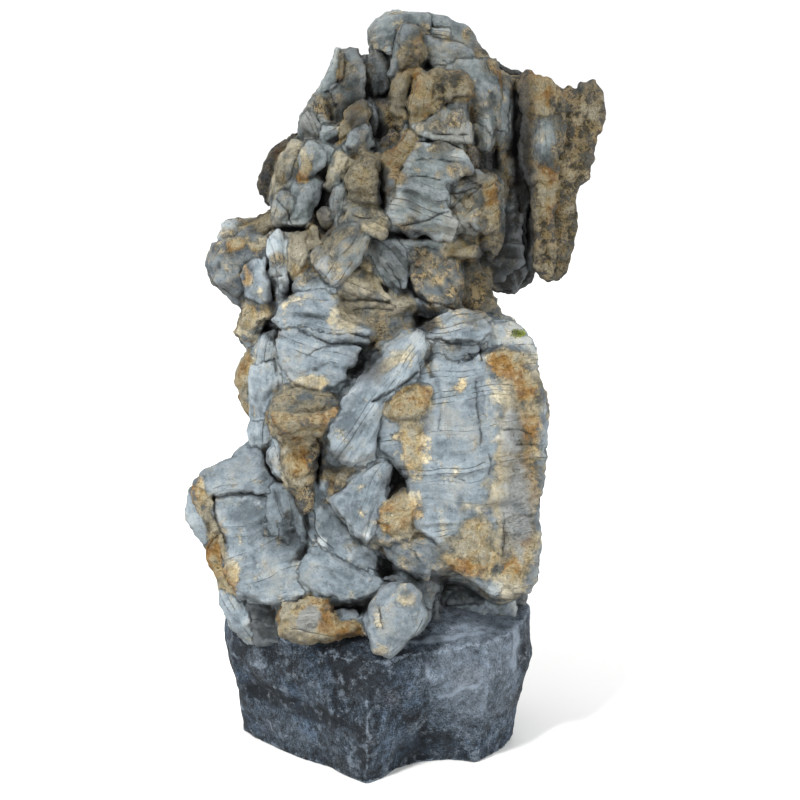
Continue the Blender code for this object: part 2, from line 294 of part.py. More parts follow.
HIGH_FORMS = {
    "column_body": (-19, 24, 2.8, 0.1, 0.05, [
        (11, 157.5), (18, 157.7), (22.5, 156), (24, 154), (25, 150.5), (18.9, 148.3), (18.5, 143),
        (21.5, 137.5),
        (20, 133.3), (17, 133.3), (14, 135), (10, 135.2), (6.5, 138), (4.8, 141.5), (6.5, 145), (7, 149.5),
        (9.5, 154)]),
    "column_edge": (-16, 16, 1, 0, 0, [
        (11, 161.5), (9, 160), (7, 157.5), (5.5, 153.5), (4.5, 150), (4, 146), (6.3, 143.7), (8, 152),
        (10, 155.5), (13, 160)]),
    "column_top": (-15, 20, 1.8, 0.1, 0.1, [
        (10, 162), (14, 163), (16, 165.5), (19, 168), (21, 168.5), (24.5, 163), (25, 158), (18, 158.5),
        (11.5, 160)]),
    "nose": (-16, 22, 2.2, 0.1, 0, [
        (20, 150), (27, 150.6), (30, 149.6), (31.7, 147), (32.7, 139), (31, 136.3), (29, 135.2), (25, 138),
        (21.8, 140.5), (22, 143), (19, 146.3)]),
    "nose_tail": (-9, 16, 0.8, 0.1, 0, [
        (21.8, 138), (24.5, 137.6), (28.5, 134), (33, 139), (33, 133), (31, 130.5), (27.5, 133.2),
        (22, 136.5)]),
    "speckled_slab": (-8, 16, 1.2, 0, 0, [
        (25, 156.3), (27, 163), (29, 163.3), (30.3, 161), (30.2, 157.5), (28.5, 155.5)]),
    "side_slab": (-13, 14, 0.6, 0, 0, [
        (24, 158), (26, 157), (26.7, 152), (25.3, 150.7), (24.3, 153)]),
    "neck_shoulder": (-8, 22, 1.8, 0.15, 0.1, [
        (15.5, 176.3), (21, 177.5), (26, 178), (31, 178), (32, 172), (31.3, 162.5), (30, 160.5), (27, 163),
        (23.2, 165.3), (21.3, 168.6), (18, 171)]),
    "brow": (-15, 18, 1.4, 0, 0.1, [
        (14.5, 175), (16, 176), (22, 174.5), (25, 171.5), (25, 170.5), (20.5, 170.5), (17, 168), (16, 166.3),
        (14.3, 169)]),
    "high_tooth_right": (-14, 16, 1.1, 0, 0, [
        (12.5, 174.5), (14, 174), (14.2, 168), (15.8, 166.3), (11.5, 162.5), (10.2, 163), (10.2, 169),
        (12.5, 173)]),
    "high_tooth_left": (-11, 14, 1.1, 0, 0, [
        (9, 175), (10.3, 174.3), (9, 170), (8, 165), (6.5, 165.5), (5.8, 171), (6.2, 173)]),
    "brown_patch": (-7, 14, 0.9, 0, 0, [
        (2.5, 167), (5, 168), (8.3, 166), (8, 163), (4, 162.5)]),
    "small_lump": (-9, 12, 0.9, 0, 0, [
        (4.5, 161), (6, 159.5), (5, 158), (4, 155), (2.5, 158.5)]),
    "neck_slab": (-2, 18, 1.1, 0, 0, [
        (-1, 177), (0, 179.5), (2, 181), (5, 181), (5.5, 178), (5, 174), (3, 171), (1, 170)]),
    "throat": (-3, 16, 1, 0, 0, [
        (-2, 175), (1, 175.5), (5.5, 171), (5.5, 168), (2.3, 167.3), (1, 163), (-1, 168)]),
    "pale_blade": (-7, 14, 0.5, 0, 0, [
        (7.5, 186), (8.2, 186), (7.5, 183), (6.3, 174.5), (5, 175), (6, 180)]),
    "tan_pillar": (-9, 16, 1.1, 0, 0, [
        (8, 186), (11.5, 186), (12, 180), (10, 176), (6.8, 175), (7.2, 178)]),
    "crown": (-2, 22, 1.8, 0, 0.2, [
        (0, 183), (0, 185), (1.5, 187.5), (4, 189.3), (8, 189.3), (14, 189), (14.5, 186), (11.5, 186),
        (7.5, 186), (5, 181), (1, 181.5)]),
    "rear_ridge": (3, 18, 1.4, 0, 0.2, [
        (13.5, 189), (18, 188), (22, 186.5), (24.5, 185), (26, 182), (29, 178.2), (26.5, 177.5), (22, 181.5),
        (15.5, 185)]),
    "tongue": (-6, 18, 1.3, 0, 0.3, [
        (12.7, 183), (14, 183.7), (19, 182.2), (24.5, 179.7), (25.5, 178.3), (25, 177.3), (17, 176.8),
        (13, 180)]),
    "horn_left": (-2, 18, 1.4, 0, 0.15, [
        (-13.8, 170), (-12, 173), (-10, 176.5), (-8.5, 180.3), (-7.3, 179.5), (-7.7, 174), (-11, 170.7),
        (-8.5, 166), (-8, 163.3), (-12, 163.5), (-15, 163), (-16.5, 165)]),
    "horn_right": (-3, 18, 1.1, 0, 0.15, [
        (-7, 180.2), (-5, 180.6), (-3, 177.5), (-2, 175.3), (-2.5, 168.5), (-5, 167), (-8, 162.3),
        (-8, 166), (-10.5, 170.8), (-7.3, 174.5)]),
    "horn_block": (-8, 16, 0.9, 0, 0, [
        (-12.5, 162.3), (-8, 161.7), (-7.8, 158.3), (-12, 156.5), (-12.8, 159)]),
    "horn_slope": (-5, 16, 1.1, -0.1, 0, [
        (-17.5, 164.3), (-16, 166), (-13, 162.3), (-12.5, 157.2), (-16.5, 158.7), (-18.2, 160.5),
        (-18.2, 162.3)]),
    "fin_ochre": (-12, 14, 0.7, 0, 0, [
        (-3, 168), (-2, 167.5), (-2.5, 161.5), (-5, 161.5), (-8, 158.5), (-8, 160.3), (-5, 166.5)]),
    "fin_grey": (-14, 14, 1.2, 0, 0, [
        (-2, 163), (0, 158), (-3, 156.7), (-6.5, 157.8), (-4.5, 161)]),
    "fin_side": (-8, 12, 0.6, 0, 0, [
        (-1.9, 168), (0, 166), (1, 163), (-0.5, 158.7), (-2, 163.5)]),
    "finger": (-13, 16, 1.6, 0, 0, [
        (-17, 156), (-16.5, 157.5), (-15, 157.9), (-13.5, 157.2), (-12.8, 155.5), (-12.8, 153), (-15, 150.7),
        (-18, 149.2), (-17.5, 154.5)]),
    "leg_panel": (-12, 16, 1.4, 0.25, 0, [
        (-18.5, 149), (-14, 151.5), (-12.5, 151.5), (-12.7, 149), (-14.2, 144), (-16.5, 140), (-18.5, 139.2),
        (-20, 139.5), (-20.3, 142), (-19.3, 147.5)]),
    "pale_leg": (-9, 16, 1.1, -0.1, 0, [
        (-20, 158.5), (-18.3, 157.5), (-17.5, 156.5), (-18.3, 150), (-20, 147), (-23, 146.5), (-24, 144.3),
        (-24.3, 147), (-22.8, 153), (-21.7, 156)]),
    "leg_foot": (-12, 16, 1.4, 0, 0, [
        (-24.8, 142.5), (-23, 144.7), (-20.6, 143.5), (-20.2, 140), (-22.5, 137.4), (-24, 137.7),
        (-25, 139)]),
    "leg_gap": (-8, 12, 0.5, 0, 0, [
        (-24, 144.5), (-23, 146.6), (-20.3, 146.4), (-20.3, 144), (-22, 144.4)]),
    "ear": (4, 16, 2.5, -0.1, 0, [
        (-20, 159.8), (-22, 158.2), (-24, 156.8), (-26, 154.3), (-28.5, 148), (-28.3, 146.3), (-25.5, 143.6),
        (-23.5, 143.6), (-22, 154)]),
    "curved_slab": (-15, 14, 1, 0, 0, [
        (-9, 154), (-8, 154.8), (-4, 153.9), (-3.6, 153.4), (-7, 151), (-9.3, 147.5), (-9.6, 145.5),
        (-10.3, 144.8), (-11.8, 147), (-10.7, 151.7)]),
    "curved_slab_low": (-15, 16, 0.9, 0, 0, [
        (-9.9, 144.3), (-8.3, 148.7), (-7, 150.3), (-5.8, 150.5), (-6.6, 142), (-8.5, 138.2), (-10, 141.5)]),
    "great_tooth": (-19, 18, 1.4, 0, 0, [
        (-5.7, 150), (-4.5, 151.6), (-1.5, 153.5), (-0.7, 154.3), (0.8, 150), (1, 145), (2, 142.7),
        (-4.8, 143.3), (-5.8, 148)]),
    "tooth_side": (-12, 14, 0.8, 0, 0, [
        (0.3, 153), (1.5, 152.5), (3.5, 146), (3.5, 138), (2.8, 136), (1.2, 147)]),
    "tooth_fold": (-18, 16, 1.3, 0, 0.1, [
        (-7.5, 138), (-6, 140.5), (-4, 142), (1.5, 142), (3, 137.5), (3, 135.3), (0, 134.8), (-3.5, 137.5)]),
}

# The rock's left and right edges and its farthest point behind, at heights on the drawing plane.
BACK_ROWS = [
    (42, -33, 36, 17), (52, -42, 42, 22), (62, -46, 43, 25), (72, -41, 44, 26), (82, -30, 44, 25),
    (92, -32, 44, 23), (102, -32, 41, 22), (112, -31, 34, 21), (122, -35, 29, 22), (132, -37, 38, 24),
    (142, -23, 42, 24), (152, -25, 43, 24), (162, -17, 42, 23), (171, -12, 38, 21), (179, -1, 27, 18),
    (186, 2, 19, 15),
]
BACK_LEAN = 14.0
ROW_SHIFT = 3.0
LUMP_CORNERS = [(-0.5, -0.28), (0.0, -0.5), (0.5, -0.3), (0.46, 0.26), (0.05, 0.5), (-0.48, 0.3)]
CORNER_SHIFT = 0.08

# Side lumps: below and above the height in each start, how far back the first lump of a row begins.
LEFT_LUMP_START = (118.0, 2.0, 9.0)
RIGHT_LUMP_START = (108.0, -10.0, 12.0)
SIDE_LUMP_WIDTH = (8.0, 15.0)
SIDE_LUMP_HEIGHT = (11.0, 23.0)
SIDE_LUMP_DEPTH = (8.0, 13.0)
SIDE_LUMP_INSET = (0.8, 3.2)
SIDE_LUMP_ROUNDING = 2.5
SIDE_LUMP_OVERLAP = 0.7
SIDE_LUMP_LEAN = 15.0
SIDE_DRAW_IN = 0.012
SIDE_END = 4.0

# Back slabs: they start inside the cores, and the back falls away towards the left and right edges.
BACK_SLAB_START = 2.0
BACK_SLAB_WIDTH = (9.0, 19.0)
BACK_SLAB_HEIGHT = (15.0, 30.0)
BACK_SLAB_PITCH = 11.0
BACK_SLAB_ROUNDING = (1.5, 3.5)
BACK_SLAB_RELIEF = (-3.0, 2.0)
BACK_SLAB_LEAN = 12.0
BACK_REACH = 0.86
BACK_FALL = 0.72
BACK_EDGE_ROOM = 6.0
CROWN_START = 170.0
CROWN_SLAB_SHARE = 0.6

# The stand's rings, upwards: the height, then the points round it from the left over the front.
STAND_RINGS = [
    (0.0, [(-35.5, 5), (-30, -3), (-25.5, -8), (-19, -15), (-11, -21), (-7, -26.5), (-1.5, -32), (2.5, -28.5),
           (6, -22), (12, -17.5), (19.5, -16), (27, -17.5), (31, -12.5), (34.5, -7.5), (37, 0), (36, 10),
           (30, 25), (15, 32), (-4, 33), (-21, 28), (-32, 18)]),
    (13.0, [(-38.5, 7), (-34.5, -3.5), (-28, -10.5), (-20.5, -17.5), (-12.5, -23.5), (-7.5, -28.5),
            (-1.5, -34), (3, -31), (8, -26), (13, -22.5), (20, -21), (28, -20.5), (33, -15.5), (37, -9),
            (39.5, 0), (38.5, 11), (31, 27), (15, 34.5), (-4, 35.5), (-22, 30), (-34.5, 19)]),
    (25.0, [(-42, 8), (-38, -5), (-30, -14.5), (-21, -21), (-13, -26.5), (-7.5, -30), (-1, -32.5), (5, -32),
            (10.5, -29.5), (15, -27), (22, -25), (30, -23), (36, -17), (40.5, -9), (42.5, 1), (41, 12),
            (33, 29), (16, 37), (-4, 38), (-24, 32), (-38, 20)]),
]
STAND_TOP = [(32.0, 0.97), (38.0, 0.62), (43.0, 0.28)]
STAND_RISE = 0.14
STAND_RISE_LIMIT = 4.5
STAND_JITTER = 0.7
STAND_SEED = 5


def clear_scene():
    for item in list(bpy.data.objects):
        bpy.data.objects.remove(item, do_unlink=True)


def make_material(name, colour, roughness):
    material = bpy.data.materials.new(name)
    material.use_nodes = True
    shader = material.node_tree.nodes["Principled BSDF"]
    shader.inputs["Base Color"].default_value = colour
    shader.inputs["Roughness"].default_value = roughness
    shader.inputs["Metallic"].default_value = 0.0
    return material


def carry(x, z, depth):
    """Carry a point of the drawing plane along its line of sight to a depth behind that plane."""
    eye_x, eye_y, eye_z = SIGHT_POINT
    reach = (depth - eye_y) / -eye_y
    return Vector((eye_x + (x - eye_x) * reach, depth, eye_z + (z - eye_z) * reach)) * CM


def turns_left(outline):
    """Whether the outline runs anticlockwise as seen from the front."""
    pairs = zip(outline, outline[1:] + outline[:1])
    return sum(x1 * z2 - x2 * z1 for (x1, z1), (x2, z2) in pairs) > 0


def add_slab(bm, front, back, rounding, slope_right, slope_up, outline, round_back=0.0):
    """Add one closed slab with a rounded face, between its front depth and its back depth."""
    points = outline if turns_left(outline) else outline[::-1]
    mid_x = sum(x for x, z in points) / len(points)
    mid_z = sum(z for x, z in points) / len(points)
    front_ring = []
    back_ring = []
    for x, z in points:
        lean = slope_right * (x - mid_x) + slope_up * (z - mid_z)
        front_ring.append(bm.verts.new(carry(x, z, front + rounding + lean)))
        behind = max(back - round_back, front + rounding + lean + LEAST_THICKNESS)
        back_ring.append(bm.verts.new(carry(mid_x + (x - mid_x) * BACK_TAPER,
                                            mid_z + (z - mid_z) * BACK_TAPER, behind)))
    face = bm.faces.new(front_ring)
    back_face = bm.faces.new(back_ring[::-1])
    count = len(points)
    for i in range(count):
        j = (i + 1) % count
        bm.faces.new((front_ring[j], front_ring[i], back_ring[i], back_ring[j]))
    bm.normal_update()
    round_face(bm, face, rounding)
    if round_back:
        round_face(bm, back_face, round_back)


def round_face(bm, face, rounding):
    """Raise a face by its rounding in two steps, so its edge falls away in a curve."""
    for inset, rise in ROUND_STEPS:
        bmesh.ops.inset_region(bm, faces=[face], thickness=inset * rounding * CM,
                               depth=rise * rounding * CM, use_even_offset=False)


def add_side_lumps(bm):
    """Fill out the left and right sides, row by row, with lumps that stay inside the rock's edges."""
    rng = random.Random(SIDE_SEED)
    for z, left, right, farthest in BACK_ROWS:
        for edge, outward, start in ((left, -1, LEFT_LUMP_START), (right, 1, RIGHT_LUMP_START)):
            change_height, low_start, high_start = start
            depth = low_start if z < change_height else high_start
            while depth < farthest - SIDE_END:
                inset = rng.uniform(*SIDE_LUMP_INSET) + SIDE_DRAW_IN * max(depth, 0) ** 2
                width = rng.uniform(*SIDE_LUMP_WIDTH)
                height = rng.uniform(*SIDE_LUMP_HEIGHT)
                thickness = rng.uniform(*SIDE_LUMP_DEPTH)
                lean = BACK_LEAN + rng.uniform(-SIDE_LUMP_LEAN, SIDE_LUMP_LEAN)
                centre = edge - outward * (inset + width / 2)
                outline = leaning_hexagon(rng, centre, z, width, height, lean)
                add_slab(bm, depth, depth + thickness, SIDE_LUMP_ROUNDING, 0, 0, outline,
                         round_back=SIDE_LUMP_ROUNDING)
                depth += thickness * SIDE_LUMP_OVERLAP


def add_back_slabs(bm):
    """Clothe the back in upright slabs, row by row, that follow the same leaning layers."""
    rng = random.Random(BACK_SEED)
    for z, left, right, farthest in BACK_ROWS:
        half = (right - left) / 2
        middle = (right + left) / 2
        steps = max(2, round((right - left) / BACK_SLAB_PITCH))
        for step in range(steps):
            across = BACK_REACH * (2 * (step + rng.uniform(0.3, 0.7)) / steps - 1)
            fall = math.sqrt(1 - BACK_FALL * across * across)
            back = farthest * fall + rng.uniform(*BACK_SLAB_RELIEF)
            width = min(rng.uniform(*BACK_SLAB_WIDTH), 2 * half * (1 - abs(across)) + BACK_EDGE_ROOM)
            height = rng.uniform(*BACK_SLAB_HEIGHT) * (CROWN_SLAB_SHARE if z > CROWN_START else 1.0)
            lean = BACK_LEAN + rng.uniform(-BACK_SLAB_LEAN, BACK_SLAB_LEAN)
            outline = leaning_hexagon(rng, middle + across * half, z, width, height, lean)
            add_slab(bm, BACK_SLAB_START, back, 1.0, 0, 0, outline,
                     round_back=rng.uniform(*BACK_SLAB_ROUNDING))


def held_within_rows(x, z):
    """Move a point inside the rows' heights, and inside the rock's left and right edges there."""
    z = min(max(z, BACK_ROWS[0][0]), BACK_ROWS[-1][0])
    for lower, upper in zip(BACK_ROWS, BACK_ROWS[1:]):
        if z <= upper[0]:
            break
    part = (z - lower[0]) / (upper[0] - lower[0])
    left = lower[1] + (upper[1] - lower[1]) * part
    right = lower[2] + (upper[2] - lower[2]) * part
    return min(max(x, left), right), z


def leaning_hexagon(rng, x, z, width, height, lean):
    """An uneven six-sided outline round (x, z), turned by its lean in degrees, inside the rows."""
    cosine = math.cos(math.radians(lean))
    sine = math.sin(math.radians(lean))
    z += rng.uniform(-ROW_SHIFT, ROW_SHIFT)
    outline = []
    for u, v in LUMP_CORNERS:
        across = (u + rng.uniform(-CORNER_SHIFT, CORNER_SHIFT)) * width
        along = (v + rng.uniform(-CORNER_SHIFT, CORNER_SHIFT)) * height
        outline.append(held_within_rows(x + across * cosine - along * sine,
                                        z + across * sine + along * cosine))
    return outline


def keep_largest_shell(bm):
    """Delete every shell but the biggest, so no sealed gap between the slabs is left inside."""
    bm.verts.ensure_lookup_table()
    seen = set()
    shells = []
    for start in bm.verts:
        if start in seen:
            continue
        shell = [start]
        seen.add(start)
        for vert in shell:
            for edge in vert.link_edges:
                other = edge.other_vert(vert)
                if other not in seen:
                    seen.add(other)
                    shell.append(other)
        shells.append(shell)
    shells.sort(key=len, reverse=True)
    for shell in shells[1:]:
        bmesh.ops.delete(bm, geom=shell, context="VERTS")


def evaluated_mesh(source):
    graph = bpy.context.evaluated_depsgraph_get()
    return bpy.data.meshes.new_from_object(source.evaluated_get(graph), depsgraph=graph)


def fused_rock_mesh():
    """Fuse all the slabs into one closed skin."""
    bm = bmesh.new()
    for forms in (CORES, LOW_FORMS, PLATE_FORMS, LEFT_FORMS, RIGHT_FORMS, HIGH_FORMS):
        for front, thickness, rounding, slope_right, slope_up, outline in forms.values():
            add_slab(bm, front, front + thickness, rounding, slope_right, slope_up, outline,
                     round_back=rounding)
    add_side_lumps(bm)
    add_back_slabs(bm)
    bmesh.ops.triangulate(bm, faces=bm.faces)
    mesh = bpy.data.meshes.new("rock_slabs")
    bm.to_mesh(mesh)
    bm.free()
    slabs = bpy.data.objects.new("rock_slabs", mesh)
    bpy.context.scene.collection.objects.link(slabs)
    fuse = slabs.modifiers.new("fuse", "REMESH")
    fuse.mode = "VOXEL"
    fuse.voxel_size = FUSE_VOXEL
    fused = evaluated_mesh(slabs)
    bpy.data.objects.remove(slabs, do_unlink=True)
    bm = bmesh.new()
    bm.from_mesh(fused)
    keep_largest_shell(bm)
    bm.to_mesh(fused)
    bm.free()
    return fused


def make_rock(stand):
    mesh = fused_rock_mesh()
    mesh.name = "rock"
    rock = bpy.data.objects.new("rock", mesh)
    bpy.context.scene.collection.objects.link(rock)
    smooth = rock.modifiers.new("soften", "SMOOTH")
    smooth.factor = 0.5
    smooth.iterations = SMOOTH_STEPS
    weather = rock.modifiers.new("weather", "DISPLACE")
    weather.texture = bpy.data.textures.new("weather", "CLOUDS")
    weather.texture.noise_scale = WEATHER_SCALE
    weather.strength = WEATHER_DEPTH
    weather.mid_level = 0.5
    thin = rock.modifiers.new("thin", "DECIMATE")
    thin.ratio = ROCK_TRIANGLES / (2 * len(mesh.polygons))
    thin.use_collapse_triangulate = True
    bed = rock.modifiers.new("bed", "BOOLEAN")
    bed.operation = "DIFFERENCE"
    bed.solver = "MANIFOLD"
    bed.object = make_bed_cutter(stand)
    rock.data.materials.append(make_material("weathered limestone", ROCK_COLOUR, 0.8))
    return rock


def make_bed_cutter(stand):
    """A copy of the stand grown from its middle by the gap, which cuts the rock's bed to fit it."""
    cutter = bpy.data.objects.new("bed_cutter", stand.data.copy())
    bpy.context.scene.collection.objects.link(cutter)
    cutter.hide_render = True
    cutter.display_type = "WIRE"
    middle = Vector((0, 0, STAND_HEIGHT / 2))
    growth = 1 + BED_GAP / (STAND_HEIGHT / 2)
    for vert in cutter.data.vertices:
        vert.co = middle + (vert.co - middle) * growth
    return cutter


def make_stand():
    """The stand: a hewn block with a flat underside, broad facets and a cambered top."""
    rng = random.Random(STAND_SEED)
    bm = bmesh.new()
    shoulder = STAND_RINGS[-1][1]
    levels = STAND_RINGS + [(height, [(x * spread, y * spread) for x, y in shoulder])
                            for height, spread in STAND_TOP]
    brow_height = STAND_TOP[0][0]
    front_edge = min(y for x, y in shoulder)
    rings = []
    for height, points in levels:
        jitter = STAND_JITTER if height else 0.0
        ring = []
        for x, y in points:
            shift = [rng.uniform(-jitter, jitter) for axis in range(3)]
            rise = min(STAND_RISE * (y - front_edge), STAND_RISE_LIMIT) if height == brow_height else 0.0
            ring.append(bm.verts.new(Vector((x + shift[0], y + shift[1], height + rise + shift[2])) * CM))
        rings.append(ring)
    count = len(shoulder)
    for lower, upper in zip(rings, rings[1:]):
        for i in range(count):
            j = (i + 1) % count
            bm.faces.new((lower[i], lower[j], upper[j], upper[i]))
    underside_middle = bm.verts.new(Vector((0, 0, 0)))
    top_middle = bm.verts.new(Vector((0, 0, STAND_HEIGHT)))
    for i in range(count):
        j = (i + 1) % count
        bm.faces.new((underside_middle, rings[0][j], rings[0][i]))
        bm.faces.new((top_middle, rings[-1][i], rings[-1][j]))
    bmesh.ops.triangulate(bm, faces=bm.faces)
    bmesh.ops.recalc_face_normals(bm, faces=bm.faces)
    mesh = bpy.data.meshes.new("stand")
    bm.to_mesh(mesh)
    bm.free()
    stand = bpy.data.objects.new("stand", mesh)
    bpy.context.scene.collection.objects.link(stand)
    stand.data.materials.append(make_material("dark hewn stone", STAND_COLOUR, 0.85))
    return stand


clear_scene()
make_rock(make_stand())
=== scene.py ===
"""Scholars rock on its stand: the weathered limestone, the hewn stand, a tuft of moss and the studio."""
import math
import random

import bmesh
import bpy
import numpy as np
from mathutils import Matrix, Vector
from mathutils.bvhtree import BVHTree


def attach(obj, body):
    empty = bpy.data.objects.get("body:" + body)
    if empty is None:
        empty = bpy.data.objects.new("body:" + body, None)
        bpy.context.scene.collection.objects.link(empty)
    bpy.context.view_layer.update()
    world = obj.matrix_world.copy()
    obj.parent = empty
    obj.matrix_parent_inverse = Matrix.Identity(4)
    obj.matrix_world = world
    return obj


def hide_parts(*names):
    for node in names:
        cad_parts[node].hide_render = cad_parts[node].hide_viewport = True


bl_info = {
    "name": "Scholars Rock on Stand",
    "version": (1, 0, 0),
    "blender": (4, 5, 0),
    "location": "3D View > Sidebar > Scholars Rock",
    "description": "Builds a weathered limestone scholars rock on a hewn stand, with a plain studio",
    "category": "Add Mesh",
}

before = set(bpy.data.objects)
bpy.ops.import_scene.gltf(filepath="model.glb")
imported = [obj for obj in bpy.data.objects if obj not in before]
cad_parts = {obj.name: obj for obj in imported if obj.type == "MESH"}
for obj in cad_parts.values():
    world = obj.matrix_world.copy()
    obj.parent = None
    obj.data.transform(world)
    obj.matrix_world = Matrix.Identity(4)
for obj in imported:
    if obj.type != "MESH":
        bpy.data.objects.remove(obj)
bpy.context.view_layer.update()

# Lengths in the tables and constants are in cm. Forms are drawn on the plane y = 0, as seen from the sight
# point, and their depths are world y.
CM = 0.01
SIGHT_POINT = (7.0, -400.0, 155.0)
VIEW_PITCH = 8.95
VIEW_LENS = 70.0
VIEW_SENSOR = 36.0

# The stone's grid: its corners as x and z on the drawing plane and depth, the distance where no form reaches,
# and the depth given where a line of sight meets no stone.
GRID_LOW = (-53.0, 20.0, -41.0)
GRID_HIGH = (62.0, 194.0, 35.0)
OUTSIDE = 9.0
FAR_DEPTH = 99.0

# How far a form outgrows its outline, and what share of its edge rounding it keeps.
OUTLINE_GROWTH = 0.35
ROUNDING_SHARE = 0.28

# Room left round a form's outline, before its face and behind its back, and how far in its face swells.
OUTLINE_ROOM = 3.0
FRONT_ROOM = 9.0
BACK_ROOM = 4.0
SWELL_REACH = 9

# Layers down a form's side and how far they step, beds across its face and how far they step.
STRATUM = 1.3
STRATUM_STAGGER = 0.4
BED_WIDTH = 1.5
BED_STAGGER = 0.26
BED_LEVELS = 80

# How far apart in the pattern of the beds two forms lie that follow each other.
FLOW_SPACING = 150

# Flat breaks of each face: how many, their steepest slope, and how far one falls at most. Then the lowest and
# the highest of their turn in radians, their start as a share of the way to the farthest corner, and their
# share of the steepest slope.
FACET_COUNT = 3
FACET_SLOPE = 0.75
FACET_FALL = 4.0
FACET_LOWEST = [[0], [0], [0.5]]
FACET_HIGHEST = [[6.28], [0.6], [1]]

# The backs of the forms: the thickness from which their breaks are cut in full, and the steepest tilt of a
# back to the right and upwards.
FULL_BACK_FACETS = 20.0
BACK_TILT = (0.5, 0.3)

# How far the lumps of the sides and the back run into each other.
LUMP_BLEND = 0.5

# Gaps of the face narrower than this get a floor. Pockets behind a mouth narrower than this are closed, and
# their places are set this far inside the stone.
WIDEST_GAP = 6.3
POCKET_MOUTH = 1.5
POCKET_INSIDE = -0.3

# How much deeper the gaps of the face are in the darkest hollows.
DARK_GAP_DEPTH = 4.0

# In metres: stone above the first height is clear of the stand, and the stand below the second is kept flat.
SEAT_TOP = 0.46
FLAT_FOOT = 0.004

# Numbers of the forms: drawn ones from 0, lumps from here, and how many own tones there are to give out.
FIRST_LUMP = 1000
TONE_COUNT = 2000

# In metres: corners of the stand's solid closer than the first are joined, and its skin counts as a full
# edge, with its painted highlight, or a full hollow, with its painted shade, where it stands that far out or
# back.
WELD = 0.00005
FULL_EDGE = 0.0022
FULL_HOLLOW = 0.002

# The share of stone near a place from which it is a hollow that takes painted shade, and under which it is an
# edge that takes a painted highlight.
HOLLOW_SHARE = 0.52
EDGE_SHARE = 0.49

# The darkening of the upper stone: the height where it starts, the rise to its full depth, and its drift.
DARKENING_START = 110
DARKENING_FADE = 16
DARKENING_DRIFT = [(9, 16, 95)]

# Edges of the skins steeper than this, in degrees, are shown sharp.
SHARP_ANGLE = 48

# The studio: reach of the floor and the point that the lights face, in metres, and the sky.
FLOOR_REACH = 40
LIT_POINT = (0, 0, 0.9)
SKY_COLOUR = (0.98, 0.99, 1.0, 1.0)
SKY_STRENGTH = 1.1

# Random tables repeat after this many cells.
NOISE_PERIOD = 32

# Random layers, each an amount, a size and a seed: they bend a form's edge sideways and upwards, rumple the
# floors of the gaps, raise ridges and grain on the stone, crumble its stained parts, and hew the stand.
SIDEWAYS_BENDS = [(1, 5.5, 21), (0.6, 2.2, 22), (0.5, 1.1, 23)]
UPWARD_BENDS = [(1, 5.5, 25), (0.6, 2.2, 26), (0.5, 1.1, 27)]
FLOOR_RIDGES = [(1.2, 5.0, 52)]
FLOOR_LUMPS = [(0.6, 2.0, 53)]
STONE_RIDGES = [(0.5, 3.4, 35), (0.32, 1.5, 31)]
STONE_GRAIN = [(0.16, 1.6, 32)]
STONE_BOWLS = [(0.6, 5.0, 37)]
CRUMB_LUMPS = [(0.25, 1.3, 33)]
CRUMB_BOWLS = [(0.75, 2.4, 38)]
CRUMB_GRAIN = [(0.12, 0.8, 34)]
HEWN_LUMPS = [(0.35, 6.5, 201), (0.25, 2.6, 202), (0.14, 1.2, 203)]
HEWN_BOWLS = [(0.9, 11.0, 207), (0.4, 4.5, 208)]
HEWN_LEVEL = 0.55

# A ridge's crest stands this far over its noise's middle, and crumbling takes this share of the ridges away.
CREST = 0.4
CRUMBLED_SHARE = 0.4

# Weather on the whole skin, coarse to fine: share of its depth, and size.
WEATHER_LAYERS = [(0.75, 5.0), (0.45, 2.0), (0.25, 1.0)]

# How far drawn places stray before cracks, stains and the stand's tones are laid: reach, size and seed.
CRACK_STRAY = (0.3, 1.8, 61)
STAIN_STRAY = (0.9, 2.4, 71)
STAND_STRAY = (1.0, 3.0, 211)

# Soft ovals: the level in the middle, which is held down to 1, and how fast it falls towards the rim.
FLOOR_SOFTNESS = (1.6, 1.0)
STAIN_SOFTNESS = (1.4, 0.85)
CLEAR_SOFTNESS = (1.8, 1.4)
TONE_SOFTNESS = (1.6, 1.1)

SIDE_SEED = 7
BACK_SEED = 11

# Each form: front depth, thickness, edge rounding, slope of its face to the right and upwards, outline.
CORES = {
    "left_seat": (-17, 30, 2, 0, 0, [
        (-31, 26), (-34, 46), (17, 48), (17, 26)]),
    "right_seat": (-8, 20, 2, 0, 0, [
        (14, 26), (15, 50), (39, 50), (37, 26)]),
    "low_core": (-8, 19, 4, 0, 0.05, [
        (-34, 40), (-37, 50), (-40, 60), (-39, 67), (-33, 73), (-27, 79), (-26, 90), (-27, 100), (-25, 108),
        (-24, 116), (-20, 118), (0, 118), (20, 117), (25, 117), (29, 112), (34, 107), (37, 101), (38, 92),
        (38, 70), (37, 50), (36, 40), (20, 38), (0, 34), (-20, 33), (-30, 32)]),
    "middle_core": (0, 12, 4, 0, 0, [
        (-25, 108), (-26, 118), (-32, 123), (-34, 130), (-30, 134), (-24, 135), (-14, 140), (0, 142),
        (20, 142), (32, 140), (38, 140), (38, 128), (34, 124), (27, 123), (27, 117), (29, 112), (20, 104),
        (-10, 104)]),
    "top_core": (5, 8, 3, 0, 0, [
        (-20, 138), (-19, 146), (-19, 154), (-14, 160), (-10, 169), (-7, 174), (-5, 176), (0, 174), (4, 181),
        (9, 185), (19, 183), (26, 177), (34, 172), (36, 160), (37, 140), (35, 127), (20, 132), (0, 136)]),
}

